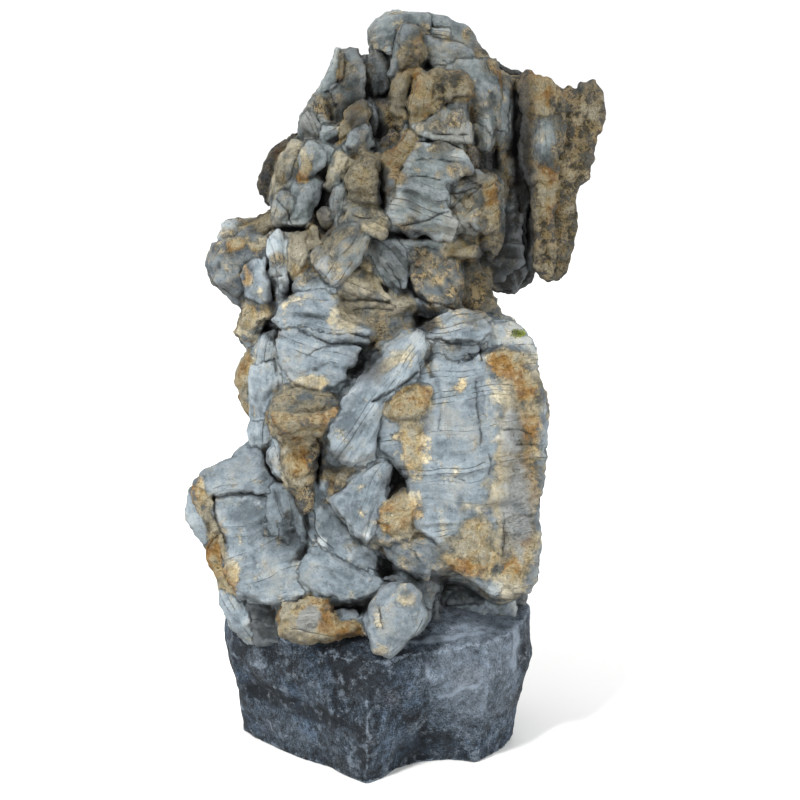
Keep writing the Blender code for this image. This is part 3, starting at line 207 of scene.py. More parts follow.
LOW_FORMS = {
    "left_lobe": (-21, 26, 5, -0.30, 0.10, [
        (-42.5, 66.3), (-40, 66.7), (-35, 67.3), (-30, 66.8), (-27, 67.3), (-24, 66), (-21, 62), (-20.5, 58),
        (-19, 52), (-18.3, 47), (-18.3, 42), (-19.5, 39.5), (-22, 37), (-28, 37.8), (-32, 39.2), (-35, 40.2),
        (-37, 42.5), (-38.5, 46), (-39, 51), (-40.5, 58), (-41.5, 62)]),
    "left_lobe_top": (-17, 24, 2.5, -0.25, 0.30, [
        (-46.5, 70), (-44, 72.3), (-40, 74.3), (-36.5, 76.5), (-33, 79.3), (-31.5, 80.5), (-30, 79),
        (-29.5, 76), (-28.5, 73), (-26.5, 69), (-28, 67.8), (-35, 68), (-40, 67.2), (-42.5, 67),
        (-45.3, 69.6)]),
    "seam_rib": (-14, 14, 1, -0.2, 0, [
        (-46.2, 70), (-45, 69.3), (-43.6, 67), (-41.8, 62), (-40.8, 59), (-41.3, 57), (-43.8, 61),
        (-45.6, 63.5), (-46.8, 66), (-46.6, 68)]),
    "outer_fin": (-8, 16, 2, -0.2, 0, [
        (-47.3, 68.5), (-48.8, 64), (-49, 62), (-48, 59.5), (-46.5, 57), (-44, 52.6), (-41.5, 56.3),
        (-44.3, 60.7), (-46, 63.2), (-47, 65.5)]),
    "seam_foot": (-10, 14, 1.5, -0.2, 0, [
        (-43.8, 52), (-41.5, 55), (-40.8, 57.5), (-39.7, 52), (-38.8, 49), (-38.6, 44), (-37, 42),
        (-35, 40.3), (-38.5, 39.5), (-40, 40.5), (-41, 44), (-42.5, 47.5), (-44, 50.5)]),
    "left_toe": (-15, 18, 2.5, -0.2, 0.1, [
        (-40.2, 40.5), (-35.5, 39.7), (-33.5, 38.5), (-31.8, 34.5), (-31.8, 29), (-29, 28), (-28.5, 26.3),
        (-32.5, 26.3), (-35, 28.3), (-37.7, 30.7), (-39, 34), (-40.2, 38)]),
    "toe_lip": (-14, 12, 0.8, 0, 0, [
        (-33, 39), (-30, 38.5), (-26, 37.3), (-27, 35.8), (-30, 35), (-32.5, 34.5)]),
    "toe_recess": (-6, 12, 0.8, 0, 0, [
        (-33, 36.5), (-26, 37), (-24.5, 35), (-24.5, 27), (-31, 26.5)]),
    "ochre_lump": (-28, 20, 3, 0.15, 0.15, [
        (-24.2, 33), (-23.3, 36.3), (-20, 37.2), (-17.5, 38.5), (-14.5, 38), (-12, 36.5), (-10.5, 32.5),
        (-5.5, 31.3), (-4, 30.3), (-10, 28), (-16.3, 26.4), (-19.5, 26.7), (-22.5, 28), (-24, 29)]),
    "pitted_strip": (-25, 10, 0.8, 0, 0, [
        (-10.5, 34.7), (-5.5, 34.3), (-4.6, 33), (-5.5, 32.3), (-10, 33.2)]),
    "belly": (-26.6, 26, 4, 0, 0.1, [
        (-17, 52), (-15, 53.5), (-10, 49), (-6.5, 46.8), (0, 44.6), (3, 43.8), (2, 41.5), (0, 39.8),
        (-3, 38.3), (-7, 37.2), (-12.5, 39.5), (-16.5, 40), (-19, 42), (-19.6, 46), (-18.6, 50)]),
    "middle_toe": (-33, 26, 3, 0.1, 0.1, [
        (-1, 36.5), (2, 41), (5, 42.3), (10, 42), (12, 40), (12.7, 37), (14, 35), (13, 32.5), (11, 30),
        (7.5, 26), (4, 22.6), (2.5, 24), (0, 24.2), (-1.3, 28), (-1.8, 30), (-0.5, 32.5)]),
    "toe_back": (-24, 18, 2, 0.2, 0.1, [
        (3, 43.8), (6, 44.2), (7.5, 47), (10.5, 45.3), (12.5, 44), (15.5, 44.5), (17, 42), (16, 39),
        (14.5, 36.5), (12.5, 38), (10, 42.3)]),
    "twisted_rib": (-23, 18, 3, 0.1, 0, [
        (-17, 69), (-15.5, 70), (-14, 69), (-12, 66), (-9, 63.5), (-6, 59.5), (-3, 55.8), (1, 53.5),
        (3.3, 49.5), (2.5, 47.8), (-5, 46.3), (-9, 48.5), (-13, 51), (-14.3, 52.5), (-15.8, 58.5),
        (-17.5, 64.5)]),
    "lobe_recess": (-22, 16, 2, 0, 0, [
        (-27, 69), (-20.5, 70), (-19, 62), (-15.5, 56), (-17, 54), (-22.5, 53.5), (-27.5, 58)]),
    "cap_stem": (-27, 16, 3, -0.2, 0, [
        (-23, 80.5), (-21.5, 82.5), (-15.5, 82.5), (-14.6, 80.5), (-15.8, 76), (-16.8, 70.5), (-16.8, 65.5),
        (-16.6, 62.7), (-18, 62.5), (-20, 67), (-21.4, 70.5), (-22.5, 74), (-23, 77)]),
    "cap_rim": (-33, 20, 2, 0, -0.2, [
        (-26, 88.5), (-25.8, 86.5), (-24.5, 84.5), (-22, 83), (-17, 82.5), (-13.5, 83.2), (-11.5, 85),
        (-10.3, 87.5), (-10.2, 89.5), (-13, 88), (-18, 87.3), (-23, 88)]),
    "cap_top": (-28, 18, 1, 0, 0.55, [
        (-26, 88.3), (-25.6, 91), (-23.5, 93.5), (-20, 95), (-16, 95.3), (-12.5, 94), (-10.3, 91.5),
        (-10.1, 89), (-13, 87.3), (-18, 86.8), (-23, 87.3)]),
    "stem_rib": (-22, 12, 1.2, 0, 0, [
        (-24, 80.7), (-27.2, 77.5), (-27, 75.5), (-24.7, 72), (-22, 69.5), (-22.3, 71), (-24, 74),
        (-24.8, 77)]),
    "hollow_rim": (-19, 10, 0.8, 0, 0, [
        (-16, 77.5), (-14.5, 78.8), (-11, 79), (-10.5, 77), (-11.5, 75), (-15, 75.3)]),
    "hollow_ridge": (-20, 10, 0.6, 0, 0, [
        (-15, 73), (-13.3, 74), (-12.3, 73), (-11, 72.7), (-10.9, 69), (-12.8, 67), (-14.2, 69.5)]),
    "ochre_shelf": (-27, 14, 1.2, 0, 0.3, [
        (-9.5, 71.5), (-6.3, 73.5), (-5, 75.2), (-2, 76.8), (2, 78), (2.8, 76.5), (-1, 74.2), (-3, 72.6),
        (-7, 70.3), (-9.8, 68)]),
    "tilted_block": (-30, 22, 1.5, 0.3, 0.1, [
        (-10.3, 65.7), (-6, 69.2), (-4, 70.5), (0, 74), (3, 76), (5, 74.5), (3.2, 70), (2.7, 65), (1, 63.3),
        (0, 58), (-2, 54.8), (-5, 58.8), (-6.3, 61), (-8, 61.5)]),
    "shade_face": (-20, 12, 1, 0.2, 0, [
        (3, 65.5), (2.8, 70), (4, 73.5), (6.5, 74.5), (8.5, 73.5), (9, 71), (8.5, 68), (4.5, 64)]),
    "ochre_knob": (-30, 16, 4, 0.1, 0, [
        (1, 60), (1.5, 62), (5, 65), (8.3, 68), (9.5, 63), (10.3, 60.5), (9, 57), (5, 57.3), (2.5, 59.5)]),
    "knob_foot": (-28, 14, 1.2, 0, 0, [
        (-0.5, 57), (0, 60), (1.5, 61), (3.5, 57.5), (9, 56.5), (9, 54.5), (4, 53.3), (-1, 55)]),
    "rough_foot": (-27, 18, 2, 0.1, 0.1, [
        (3, 53.5), (9, 55.5), (12, 57), (14, 57), (18, 53), (20, 51), (20, 47.5), (15.5, 47), (13.7, 44),
        (10, 46.2), (6, 48.3), (3.5, 51.5)]),
    "left_neck": (-16, 22, 2, 0, 0, [
        (-31.5, 85), (-29, 87), (-26.5, 86), (-25.6, 81), (-27, 79), (-30, 78), (-31.5, 80.8), (-32, 82.5)]),
}

PLATE_FORMS = {
    "diagonal_slab": (-31, 22, 4, 0, 0.15, [
        (-11, 86.2), (-8, 90.5), (-5, 93.5), (-3, 96.5), (1, 100.5), (5, 105), (7, 107), (11, 109),
        (12.5, 109), (13.4, 104), (11.5, 102), (11.2, 98.8), (7, 96), (1.5, 92.3), (0.8, 87), (-0.2, 80),
        (-0.8, 77.7), (-6, 75.6), (-8.5, 76.2), (-10, 78.2), (-10.6, 81), (-11, 83.5)]),
    "great_plate": (-24, 12, 3, 0.20, 0.10, [
        (1, 91.5), (8, 96.3), (13.5, 100.8), (16, 101.8), (25, 102), (27, 103.3), (35, 105.3), (40, 104.5),
        (41.8, 102.5), (43.3, 96.3), (44, 93), (44.4, 82), (44.6, 76), (44.4, 71), (43.5, 66.5), (43, 57),
        (42.3, 48), (41.5, 40.5), (38, 40), (33, 38.6), (29.5, 41.5), (24, 45.3), (20, 49.3), (17, 54.5),
        (11, 58), (9.5, 65), (9, 71), (6, 75.8), (1.5, 78.5), (1, 85)]),
    "plate_ledge": (-28.6, 10, 3.0, 0, 0.1, [
        (4, 92.5), (6, 94.5), (9, 95.7), (12, 95.5), (14, 94), (14, 91), (11, 88.3), (5, 88.5), (2.5, 91)]),
    "plate_rib": (-27.6, 10, 3.5, 0.2, 0, [
        (1.5, 86), (3.5, 88), (7, 87.5), (10, 86), (10.5, 82), (10, 75), (8.5, 73.7), (4, 77.3), (1.2, 82)]),
    "right_flange": (-15, 8, 2.5, 0.2, 0, [
        (36, 105), (40, 105), (42, 101), (44, 93.5), (44.3, 80), (44.5, 74), (44.2, 70.5), (43.2, 66),
        (42.5, 53), (41.8, 44), (40, 43), (40, 60), (39.5, 68), (40.5, 76), (39, 84), (38, 98)]),
    "plate_foot": (-26.3, 12, 3.0, 0.2, 0.1, [
        (20.5, 50), (24.5, 59), (28, 59.5), (32, 57), (33.5, 53), (33, 49), (30, 43.5), (27.5, 43.8),
        (21, 48.7)]),
    "plate_heel": (-21, 16, 2, 0.2, 0, [
        (34.5, 57.5), (37, 60), (40, 60.5), (42.5, 57), (42.5, 50), (41.5, 44), (39.5, 41.5), (34.5, 44.5),
        (34, 53)]),
    "plate_lip": (-23, 16, 1, 0.1, 0, [
        (29.8, 42), (32, 43), (35, 43.5), (37.5, 41.5), (37, 39.3), (35, 38.5), (30.3, 40)]),
    "under_plate": (-9, 18, 1, 0.1, 0, [
        (16.5, 46.5), (20, 47.5), (25, 43), (32, 40), (40, 39.5), (40, 37), (30, 37), (20, 38), (16, 41)]),
    "shoulder": (-21, 24, 1.5, 0, 0.45, [
        (11.5, 109.3), (14, 111.3), (17, 113.3), (20, 114.4), (22.5, 114.8), (28.3, 113.8), (30, 110.5),
        (28, 108.2), (20, 108.7), (14.5, 108.2)]),
    "shoulder_band": (-20, 18, 1.2, 0, 0.1, [
        (13.3, 107.5), (20, 106.6), (24, 106.7), (27.5, 107.8), (28, 106), (25.3, 102.8), (16, 102.2),
        (12, 101.5), (13.5, 103.7)]),
    "moss_shoulder": (-17, 24, 1.5, 0.2, 0.2, [
        (29.3, 108.5), (30.5, 110.5), (36, 111.5), (37.3, 110.8), (39, 108.3), (40.3, 107.6), (41.3, 105.5),
        (41.6, 103), (34, 105.3), (29.5, 104.3), (28.5, 106)]),
}

LEFT_FORMS = {
    "column_low": (-17, 22, 3, -0.3, 0, [
        (-29.7, 101), (-25.7, 102.7), (-24, 96.5), (-22, 95.8), (-26, 91), (-27.5, 86), (-31, 84.5),
        (-31.8, 91), (-32, 95), (-30.7, 100)]),
    "column_high": (-16, 16, 1.5, -0.2, 0, [
        (-27.7, 108), (-26.3, 108.9), (-25.7, 103), (-29.6, 101.5), (-29.3, 103.5)]),
    "column_strip": (-14, 16, 0.8, 0, 0, [
        (-25.8, 108.7), (-24.3, 108.7), (-23.2, 101), (-20.8, 96.2), (-23, 95.5), (-24.5, 97), (-25.4, 101)]),
    "ochre_rim": (-8, 18, 1.5, -0.2, 0, [
        (-28.7, 106.5), (-30, 104), (-31.5, 104.5), (-33, 103), (-34.3, 99.5), (-34.7, 96.5), (-34.2, 93.5),
        (-31.8, 87.5), (-31.2, 85), (-31.2, 89), (-31.9, 95), (-30.8, 100), (-29.3, 104.5)]),
    "breast_plate": (-24, 28, 3.5, 0, 0.1, [
        (-24.3, 107), (-23.5, 109.3), (-21.5, 110.3), (-18, 109), (-14, 107), (-6, 106), (-4, 105),
        (-4.8, 103), (-5.5, 101.6), (-7.5, 100.5), (-7.5, 98), (-11, 95.3), (-15, 95), (-20, 96), (-22, 99.5),
        (-23.8, 105)]),
    "breast_lip": (-22, 20, 0.7, 0, 0.3, [
        (-20, 110.7), (-14, 109.3), (-3, 108.1), (-1.9, 107.7), (-3, 107.2), (-13, 108), (-18, 108.7)]),
    "upper_plate": (-20, 24, 2.5, 0, 0.25, [
        (-22.5, 117), (-20.5, 118.8), (-18, 119.2), (-13.5, 120.6), (-11, 119.9), (-10.3, 116), (-9.5, 113.5),
        (-6, 111), (-1.5, 109.9), (-10, 109.9), (-16, 110.4), (-20, 111.3), (-23.5, 110.7), (-25.3, 112.7)]),
    "plate_hem": (-17, 16, 0.9, 0, 0.2, [
        (-10, 119.3), (-9, 117), (-7.5, 114.5), (-5, 112.5), (-1.3, 110.2), (-6, 110.6), (-9.8, 114.5),
        (-10.5, 117)]),
    "neck_block": (-16, 20, 1.8, 0, 0.2, [
        (-20, 119.7), (-20.7, 121), (-20, 123.5), (-19, 125.5), (-15.5, 126), (-12.5, 123), (-10.3, 120.5),
        (-14, 121), (-18, 119.9)]),
    "ochre_elbow": (-12, 20, 2, -0.2, 0, [
        (-32.5, 117), (-31, 118), (-27, 117.7), (-25.3, 117), (-24.8, 114.5), (-26, 113.3), (-29, 113),
        (-31, 110), (-30.7, 108.8), (-33.5, 108.8), (-34.6, 110), (-34, 112)]),
    "elbow_neck": (-6, 16, 1, 0, 0, [
        (-33, 108.9), (-30.5, 109), (-29.3, 108), (-30, 106), (-31, 103.8), (-32, 105.5)]),
    "elbow_chip": (-11, 10, 0.5, 0, 0, [
        (-30, 111.5), (-28.5, 113), (-27, 113.2), (-28, 111.5), (-29.3, 110)]),
    "arm": (-11, 22, 3.5, -0.3, 0.1, [
        (-38, 133), (-40, 132), (-41.2, 129), (-40.7, 125), (-40, 123), (-38.5, 121.5), (-35, 120.2),
        (-33.7, 121), (-34, 124), (-33.3, 127), (-28.5, 129), (-27.5, 133.5), (-30, 134), (-31.5, 136.3),
        (-35, 133.5)]),
    "arm_back": (-3, 18, 1.8, 0, 0.2, [
        (-38.5, 134.5), (-38, 136.5), (-36.5, 138), (-34.5, 138.8), (-30, 138.2), (-32.5, 135),
        (-38, 133.3)]),
    "arm_ridge": (-8, 18, 1.2, 0, 0.2, [
        (-30, 138.1), (-28, 138.9), (-25, 140), (-24.5, 138), (-23, 136.8), (-27, 134.3), (-30, 134.5),
        (-33.5, 134.7), (-32, 136.8)]),
    "arm_underside": (-2, 14, 1, 0, 0, [
        (-39, 121.3), (-35, 117.5), (-32.5, 115.3), (-31, 117), (-31.2, 119), (-34, 121)]),
    "left_slab": (-15, 18, 1.8, -0.1, 0, [
        (-32, 126.5), (-31, 127.8), (-29.5, 128.2), (-28, 127.5), (-27.3, 122), (-26.8, 118), (-29, 117),
        (-31, 118.5), (-32.5, 119.5), (-33, 121.5), (-32.8, 124)]),
    "thumb_slab": (-16, 18, 1.6, 0, 0, [
        (-26, 133.5), (-25, 134.8), (-24, 135), (-23.3, 133.5), (-22.9, 126), (-23, 120.5), (-23.8, 119.3),
        (-26, 122), (-26.3, 124.5), (-25, 128), (-26.5, 131)]),
    "dark_slab": (-11, 16, 0.8, 0, 0, [
        (-28, 128.3), (-26.5, 127.8), (-26.2, 122), (-24.3, 118.5), (-24.7, 115), (-25.5, 113.5),
        (-26.5, 119.5), (-27.9, 126)]),
    "dark_chip": (-9, 14, 0.8, 0, 0, [
        (-22.8, 123), (-21.5, 124), (-20.3, 121), (-21.5, 118.5), (-24, 118.8)]),
    "grey_sliver": (-13, 14, 0.5, 0, 0, [
        (-22.3, 133.8), (-21.5, 133), (-21, 129), (-21.7, 124.3), (-22.5, 129)]),
    "ochre_finger": (-17, 16, 1.3, 0, 0, [
        (-19.5, 134.5), (-17.5, 135.3), (-17.3, 132.3), (-16.3, 131), (-17.2, 127.8), (-19, 124.5),
        (-20.5, 123.2), (-21.3, 124.5), (-20.2, 129.5), (-20, 132.5)]),
    "ochre_tooth_low": (-15, 14, 0.8, 0, 0, [
        (-15.7, 136.5), (-14.8, 137.7), (-14, 136.5), (-13.2, 132.5), (-13.5, 131), (-14.7, 131.2)]),
    "tan_chip": (-14, 14, 0.8, 0, 0, [
        (-14, 140.5), (-13, 141.2), (-10.3, 140.5), (-10.2, 139), (-11.3, 136.4), (-13.5, 138.7)]),
    "gap_wedge": (-11, 12, 0.5, 0, 0, [
        (-13.2, 136.5), (-12, 137.3), (-9.5, 137.5), (-11, 133.2), (-12.8, 131.8)]),
    "arm_shelf": (-9, 14, 0.6, 0, 0, [
        (-25, 137), (-22, 137.3), (-17, 135.9), (-18, 134.8), (-25, 135.7)]),
    "elbow_slab": (-21, 22, 2.2, 0, 0.2, [
        (-15, 129.5), (-14, 131), (-12.5, 131.5), (-9.5, 135.5), (-7, 137.6), (-4, 138), (-1.5, 134),
        (-3.5, 130), (-9, 122.7), (-10.3, 122.5), (-14, 126.5), (-15.2, 127.5)]),
    "tan_face": (-17, 20, 1, 0.1, 0.1, [
        (-9, 122), (-7, 124), (-3.3, 130), (-2, 128.5), (0.5, 123.8), (5.5, 117.8), (-3, 119.7),
        (-9.5, 120.5)]),
    "grey_panel": (-15, 20, 1.2, 0.1, 0.1, [
        (-2.3, 131), (0, 133.5), (3, 134), (8, 132), (9.3, 130), (9.8, 127.5), (9.3, 125), (8.8, 121),
        (7.5, 120.3), (3, 122.5), (-1.3, 127)]),
    "layered_wedge": (-15, 18, 0.8, 0, 0.3, [
        (-8.5, 116.5), (-6.5, 119), (-3, 119.3), (5.5, 117.3), (8, 118.5), (9.5, 116.2), (6, 115.4),
        (0, 116.1), (-6.5, 115)]),
    "layered_mass": (-16, 18, 1.2, 0.1, 0.2, [
        (-6.5, 114.7), (0, 115.8), (9, 115.4), (10.3, 113.5), (10, 109.7), (8.5, 108.3), (1, 107.7),
        (-0.5, 109), (-1.2, 111)]),
    "broken_ledge": (-12, 14, 0.6, 0, 0, [
        (-1.5, 107.8), (7, 107.3), (3.3, 104.8), (-1.5, 104.9), (-3, 105.8)]),
}

RIGHT_FORMS = {
    "waist_mass": (-10, 18, 1, 0, 0, [
        (9.5, 129.5), (11, 132), (13, 134), (18, 132.5), (19.5, 131), (15.5, 129.2), (10.8, 127.5)]),
    "ochre_ledge": (-13, 18, 0.9, 0, 0.2, [
        (17.5, 131), (20, 132), (23, 132.3), (26, 131.5), (26.5, 130), (21, 129.3), (18.5, 129.5)]),
    "waist_lump": (-17, 20, 2, 0.1, 0.1, [
        (10.3, 127), (12.5, 128.3), (15.5, 128.8), (20.5, 127.8), (22, 123), (20.3, 117), (16, 117.3),
        (11.7, 120), (9.7, 124.5)]),
    "waist_panel": (-8, 20, 1.8, 0.2, 0.05, [
        (21, 129), (26, 130), (28, 126), (29.7, 123.5), (30.3, 118), (33, 113.5), (36, 111.8), (30.5, 111.5),
        (29, 113.8), (21, 116), (22.3, 123)]),
    "waist_ledge": (-13, 14, 0.8, 0, 0, [
        (10.3, 114.8), (13, 117.7), (20, 116.3), (21, 115.3), (17.5, 114.3), (13, 114.4)]),
    "waist_rib": (-12, 14, 0.6, 0, 0, [
        (8.8, 121), (9.5, 123.5), (11.7, 119.3), (13.5, 118), (10.3, 115.8), (8, 119.3)]),
    "wing_root": (3, 20, 2, 0, 0, [
        (30, 149), (33, 150), (36, 146), (37, 140), (39, 134), (40.5, 127), (38.5, 124), (36.5, 120.6),
        (33, 121.7), (30.5, 122.7), (28.3, 128), (33, 133), (32.5, 144)]),
    "wing_wall": (9, 8, 1.5, 0, 0, [
        (28, 178), (31, 178), (33, 176.5), (38, 174.5), (39.5, 166), (39, 157), (42, 149), (43, 143),
        (43, 137), (42, 128), (40, 123), (36.5, 120.5), (32, 122), (28, 140), (27, 156)]),
    "wing_front": (-2, 14, 1.4, 0.30, 0, [
        (38, 174.3), (39, 174.7), (43, 173.3), (45, 172.5), (47, 170.8), (48, 161), (47, 151), (46, 146),
        (45.5, 138), (46, 124), (43.5, 124.7), (42, 127), (43, 134), (41.5, 142), (39.5, 150), (37.5, 154.5),
        (37, 157), (38.5, 163), (39.5, 166), (38.2, 172)]),
    "wing_right": (4, 9, 1.4, 0.35, 0, [
        (46, 170.5), (49, 170.2), (52.5, 170), (53, 171.5), (55, 172.6), (57, 170.8), (58, 166), (57.8, 164),
        (56.3, 160), (55.8, 155), (53.5, 150), (52, 147.5), (51, 144), (51, 134), (50, 128.5), (48.5, 125),
        (47, 124), (45, 124.5), (45, 138), (46, 151), (46.5, 161)]),
}

HIGH_FORMS = {
    "column_body": (-19, 24, 2.8, 0.1, 0.05, [
        (11, 157.5), (18, 157.7), (22.5, 156), (24, 154), (25, 150.5), (18.9, 148.3), (18.5, 143),
        (21.5, 137.5), (20, 133.3), (17, 133.3), (14, 135), (10, 135.2), (6.5, 138), (4.8, 141.5), (6.5, 145),
        (7, 149.5), (9.5, 154)]),
    "column_edge": (-16, 16, 1, 0, 0, [
        (11, 161.5), (9, 160), (7, 157.5), (5.5, 153.5), (4.5, 150), (4, 146), (6.3, 143.7), (8, 152),
        (10, 155.5), (13, 160)]),
    "column_top": (-15, 20, 1.8, 0.1, 0.1, [
        (10, 162), (14, 163), (16, 165.5), (19, 168), (21, 168.5), (24.5, 163), (25, 158), (18, 158.5),
        (11.5, 160)]),
    "nose": (-16, 22, 2.2, 0.1, 0, [
        (20, 150), (27, 150.6), (30, 149.6), (31.7, 147), (32.7, 139), (31, 136.3), (29, 135.2), (25, 138),
        (21.8, 140.5), (22, 143), (19, 146.3)]),
    "nose_tail": (-9, 16, 0.8, 0.1, 0, [
        (21.8, 138), (24.5, 137.6), (28.5, 134), (33, 139), (33, 133), (31, 130.5), (27.5, 133.2),
        (22, 136.5)]),
    "speckled_slab": (-8, 16, 1.2, 0, 0, [
        (25, 156.3), (27, 163), (29, 163.3), (30.3, 161), (30.2, 157.5), (28.5, 155.5)]),
    "side_slab": (-13, 14, 0.6, 0, 0, [
        (24, 158), (26, 157), (26.7, 152), (25.3, 150.7), (24.3, 153)]),
    "neck_shoulder": (-8, 22, 1.8, 0.15, 0.1, [
        (15.5, 176.3), (21, 177.5), (26, 178), (31, 178), (32, 172), (31.3, 162.5), (30, 160.5), (27, 163),
        (23.2, 165.3), (21.3, 168.6), (18, 171)]),
    "brow": (-15, 18, 1.4, 0, 0.1, [
        (14.5, 175), (16, 176), (22, 174.5), (25, 171.5), (25, 170.5), (20.5, 170.5), (17, 168), (16, 166.3),
        (14.3, 169)]),
    "high_tooth_right": (-14, 16, 1.1, 0, 0, [
        (12.5, 174.5), (14, 174), (14.2, 168), (15.8, 166.3), (11.5, 162.5), (10.2, 163), (10.2, 169),
        (12.5, 173)]),
    "high_tooth_left": (-11, 14, 1.1, 0, 0, [
        (9, 175), (10.3, 174.3), (9, 170), (8, 165), (6.5, 165.5), (5.8, 171), (6.2, 173)]),
    "brown_patch": (-7, 14, 0.9, 0, 0, [
        (2.5, 167), (5, 168), (8.3, 166), (8, 163), (4, 162.5)]),
    "small_lump": (-9, 12, 0.9, 0, 0, [
        (4.5, 161), (6, 159.5), (5, 158), (4, 155), (2.5, 158.5)]),
    "neck_slab": (-2, 18, 1.1, 0, 0, [
        (-1, 177), (0, 179.5), (2, 181), (5, 181), (5.5, 178), (5, 174), (3, 171), (1, 170)]),
    "throat": (1, 16, 1, 0, 0, [
        (-2, 175), (1, 175.5), (5.5, 171), (5.5, 168), (2.3, 167.3), (1, 163), (-1, 168)]),
    "pale_blade": (-7, 14, 0.5, 0, 0, [
        (7.5, 186), (8.2, 186), (7.5, 183), (6.3, 174.5), (5, 175), (6, 180)]),
    "tan_pillar": (-9, 16, 1.1, 0, 0, [
        (8, 186), (11.5, 186), (12, 180), (10, 176), (6.8, 175), (7.2, 178)]),
    "crown": (-2, 22, 1.8, 0, 0.2, [
        (0, 183), (0, 185), (1.5, 187.5), (4, 189.3), (8, 189.3), (14, 189), (14.5, 186), (11.5, 186),
        (7.5, 186), (5, 181), (1, 181.5)]),
    "rear_ridge": (3, 18, 1.4, 0, 0.2, [
        (13.5, 189), (18, 188), (22, 186.5), (24.5, 185), (26, 182), (29, 178.2), (26.5, 177.5), (22, 181.5),
        (15.5, 185)]),
    "tongue": (-6, 18, 1.3, 0, 0.3, [
        (12.7, 183), (14, 183.7), (19, 182.2), (24.5, 179.7), (25.5, 178.3), (25, 177.3), (17, 176.8),
        (13, 180)]),
    "horn_left": (-2, 18, 1.4, 0, 0.15, [
        (-13.8, 170), (-12, 173), (-10, 176.5), (-8.5, 180.3), (-7.3, 179.5), (-7.7, 174), (-11, 170.7),
        (-8.5, 166), (-8, 163.3), (-12, 163.5), (-15, 163), (-16.5, 165)]),
    "horn_right": (-3, 18, 1.1, 0, 0.15, [
        (-7, 180.2), (-5, 180.6), (-3, 177.5), (-2, 175.3), (-2.5, 168.5), (-5, 167), (-8, 162.3), (-8, 166),
        (-10.5, 170.8), (-7.3, 174.5)]),
    "horn_block": (-8, 16, 0.9, 0, 0, [
        (-12.5, 162.3), (-8, 161.7), (-7.8, 158.3), (-12, 156.5), (-12.8, 159)]),
    "horn_slope": (-5, 16, 1.1, -0.1, 0, [
        (-17.5, 164.3), (-16, 166), (-13, 162.3), (-12.5, 157.2), (-16.5, 158.7), (-18.2, 160.5),
        (-18.2, 162.3)]),
    "fin_ochre": (-12, 14, 0.7, 0, 0, [
        (-3, 168), (-2, 167.5), (-2.5, 161.5), (-5, 161.5), (-8, 158.5), (-8, 160.3), (-5, 166.5)]),
    "fin_grey": (-14, 14, 1.2, 0, 0, [
        (-2, 163), (0, 158), (-3, 156.7), (-6.5, 157.8), (-4.5, 161)]),
    "fin_side": (-8, 12, 0.6, 0, 0, [
        (-1.9, 168), (0, 166), (1, 163), (-0.5, 158.7), (-2, 163.5)]),
    "finger": (-13, 16, 1.6, 0, 0, [
        (-17, 156), (-16.5, 157.5), (-15, 157.9), (-13.5, 157.2), (-12.8, 155.5), (-12.8, 153), (-15, 150.7),
        (-18, 149.2), (-17.5, 154.5)]),
    "leg_panel": (-12, 16, 1.4, 0.25, 0, [
        (-18.5, 149), (-14, 151.5), (-12.5, 151.5), (-12.7, 149), (-14.2, 144), (-16.5, 140), (-18.5, 139.2),
        (-20, 139.5), (-20.3, 142), (-19.3, 147.5)]),
    "pale_leg": (-9, 16, 1.1, -0.1, 0, [
        (-20, 158.5), (-18.3, 157.5), (-17.5, 156.5), (-18.3, 150), (-20, 147), (-23, 146.5), (-24, 144.3),
        (-24.3, 147), (-22.8, 153), (-21.7, 156)]),
    "leg_foot": (-12, 16, 1.4, 0, 0, [
        (-24.8, 142.5), (-23, 144.7), (-20.6, 143.5), (-20.2, 140), (-22.5, 137.4), (-24, 137.7),
        (-25, 139)]),
    "leg_gap": (-8, 12, 0.5, 0, 0, [
        (-24, 144.5), (-23, 146.6), (-20.3, 146.4), (-20.3, 144), (-22, 144.4)]),
    "ear": (4, 16, 2.5, -0.1, 0, [
        (-20, 159.8), (-22, 158.2), (-24, 156.8), (-26, 154.3), (-28.5, 148), (-28.3, 146.3), (-25.5, 143.6),
        (-23.5, 143.6), (-22, 154)]),
    "curved_slab": (-15, 14, 1, 0, 0, [
        (-9, 154), (-8, 154.8), (-4, 153.9), (-3.6, 153.4), (-7, 151), (-9.3, 147.5), (-9.6, 145.5),
        (-10.3, 144.8), (-11.8, 147), (-10.7, 151.7)]),
    "curved_slab_low": (-15, 16, 0.9, 0, 0, [
        (-9.9, 144.3), (-8.3, 148.7), (-7, 150.3), (-5.8, 150.5), (-6.6, 142), (-8.5, 138.2), (-10, 141.5)]),
    "great_tooth": (-20, 18, 1.4, 0, 0, [
        (-5.7, 150), (-4.5, 151.6), (-1.5, 153.5), (-0.7, 154.3), (0.8, 150), (1, 145), (2, 142.7),
        (-4.8, 143.3), (-5.8, 148)]),
    "tooth_side": (-12, 14, 0.8, 0, 0, [
        (0.3, 153), (1.5, 152.5), (3.5, 146), (3.5, 138), (2.8, 136), (1.2, 147)]),
    "tooth_fold": (-18, 16, 1.3, 0, 0.1, [
        (-7.5, 138), (-6, 140.5), (-4, 142), (1.5, 142), (3, 137.5), (3, 135.3), (0, 134.8), (-3.5, 137.5)]),
}

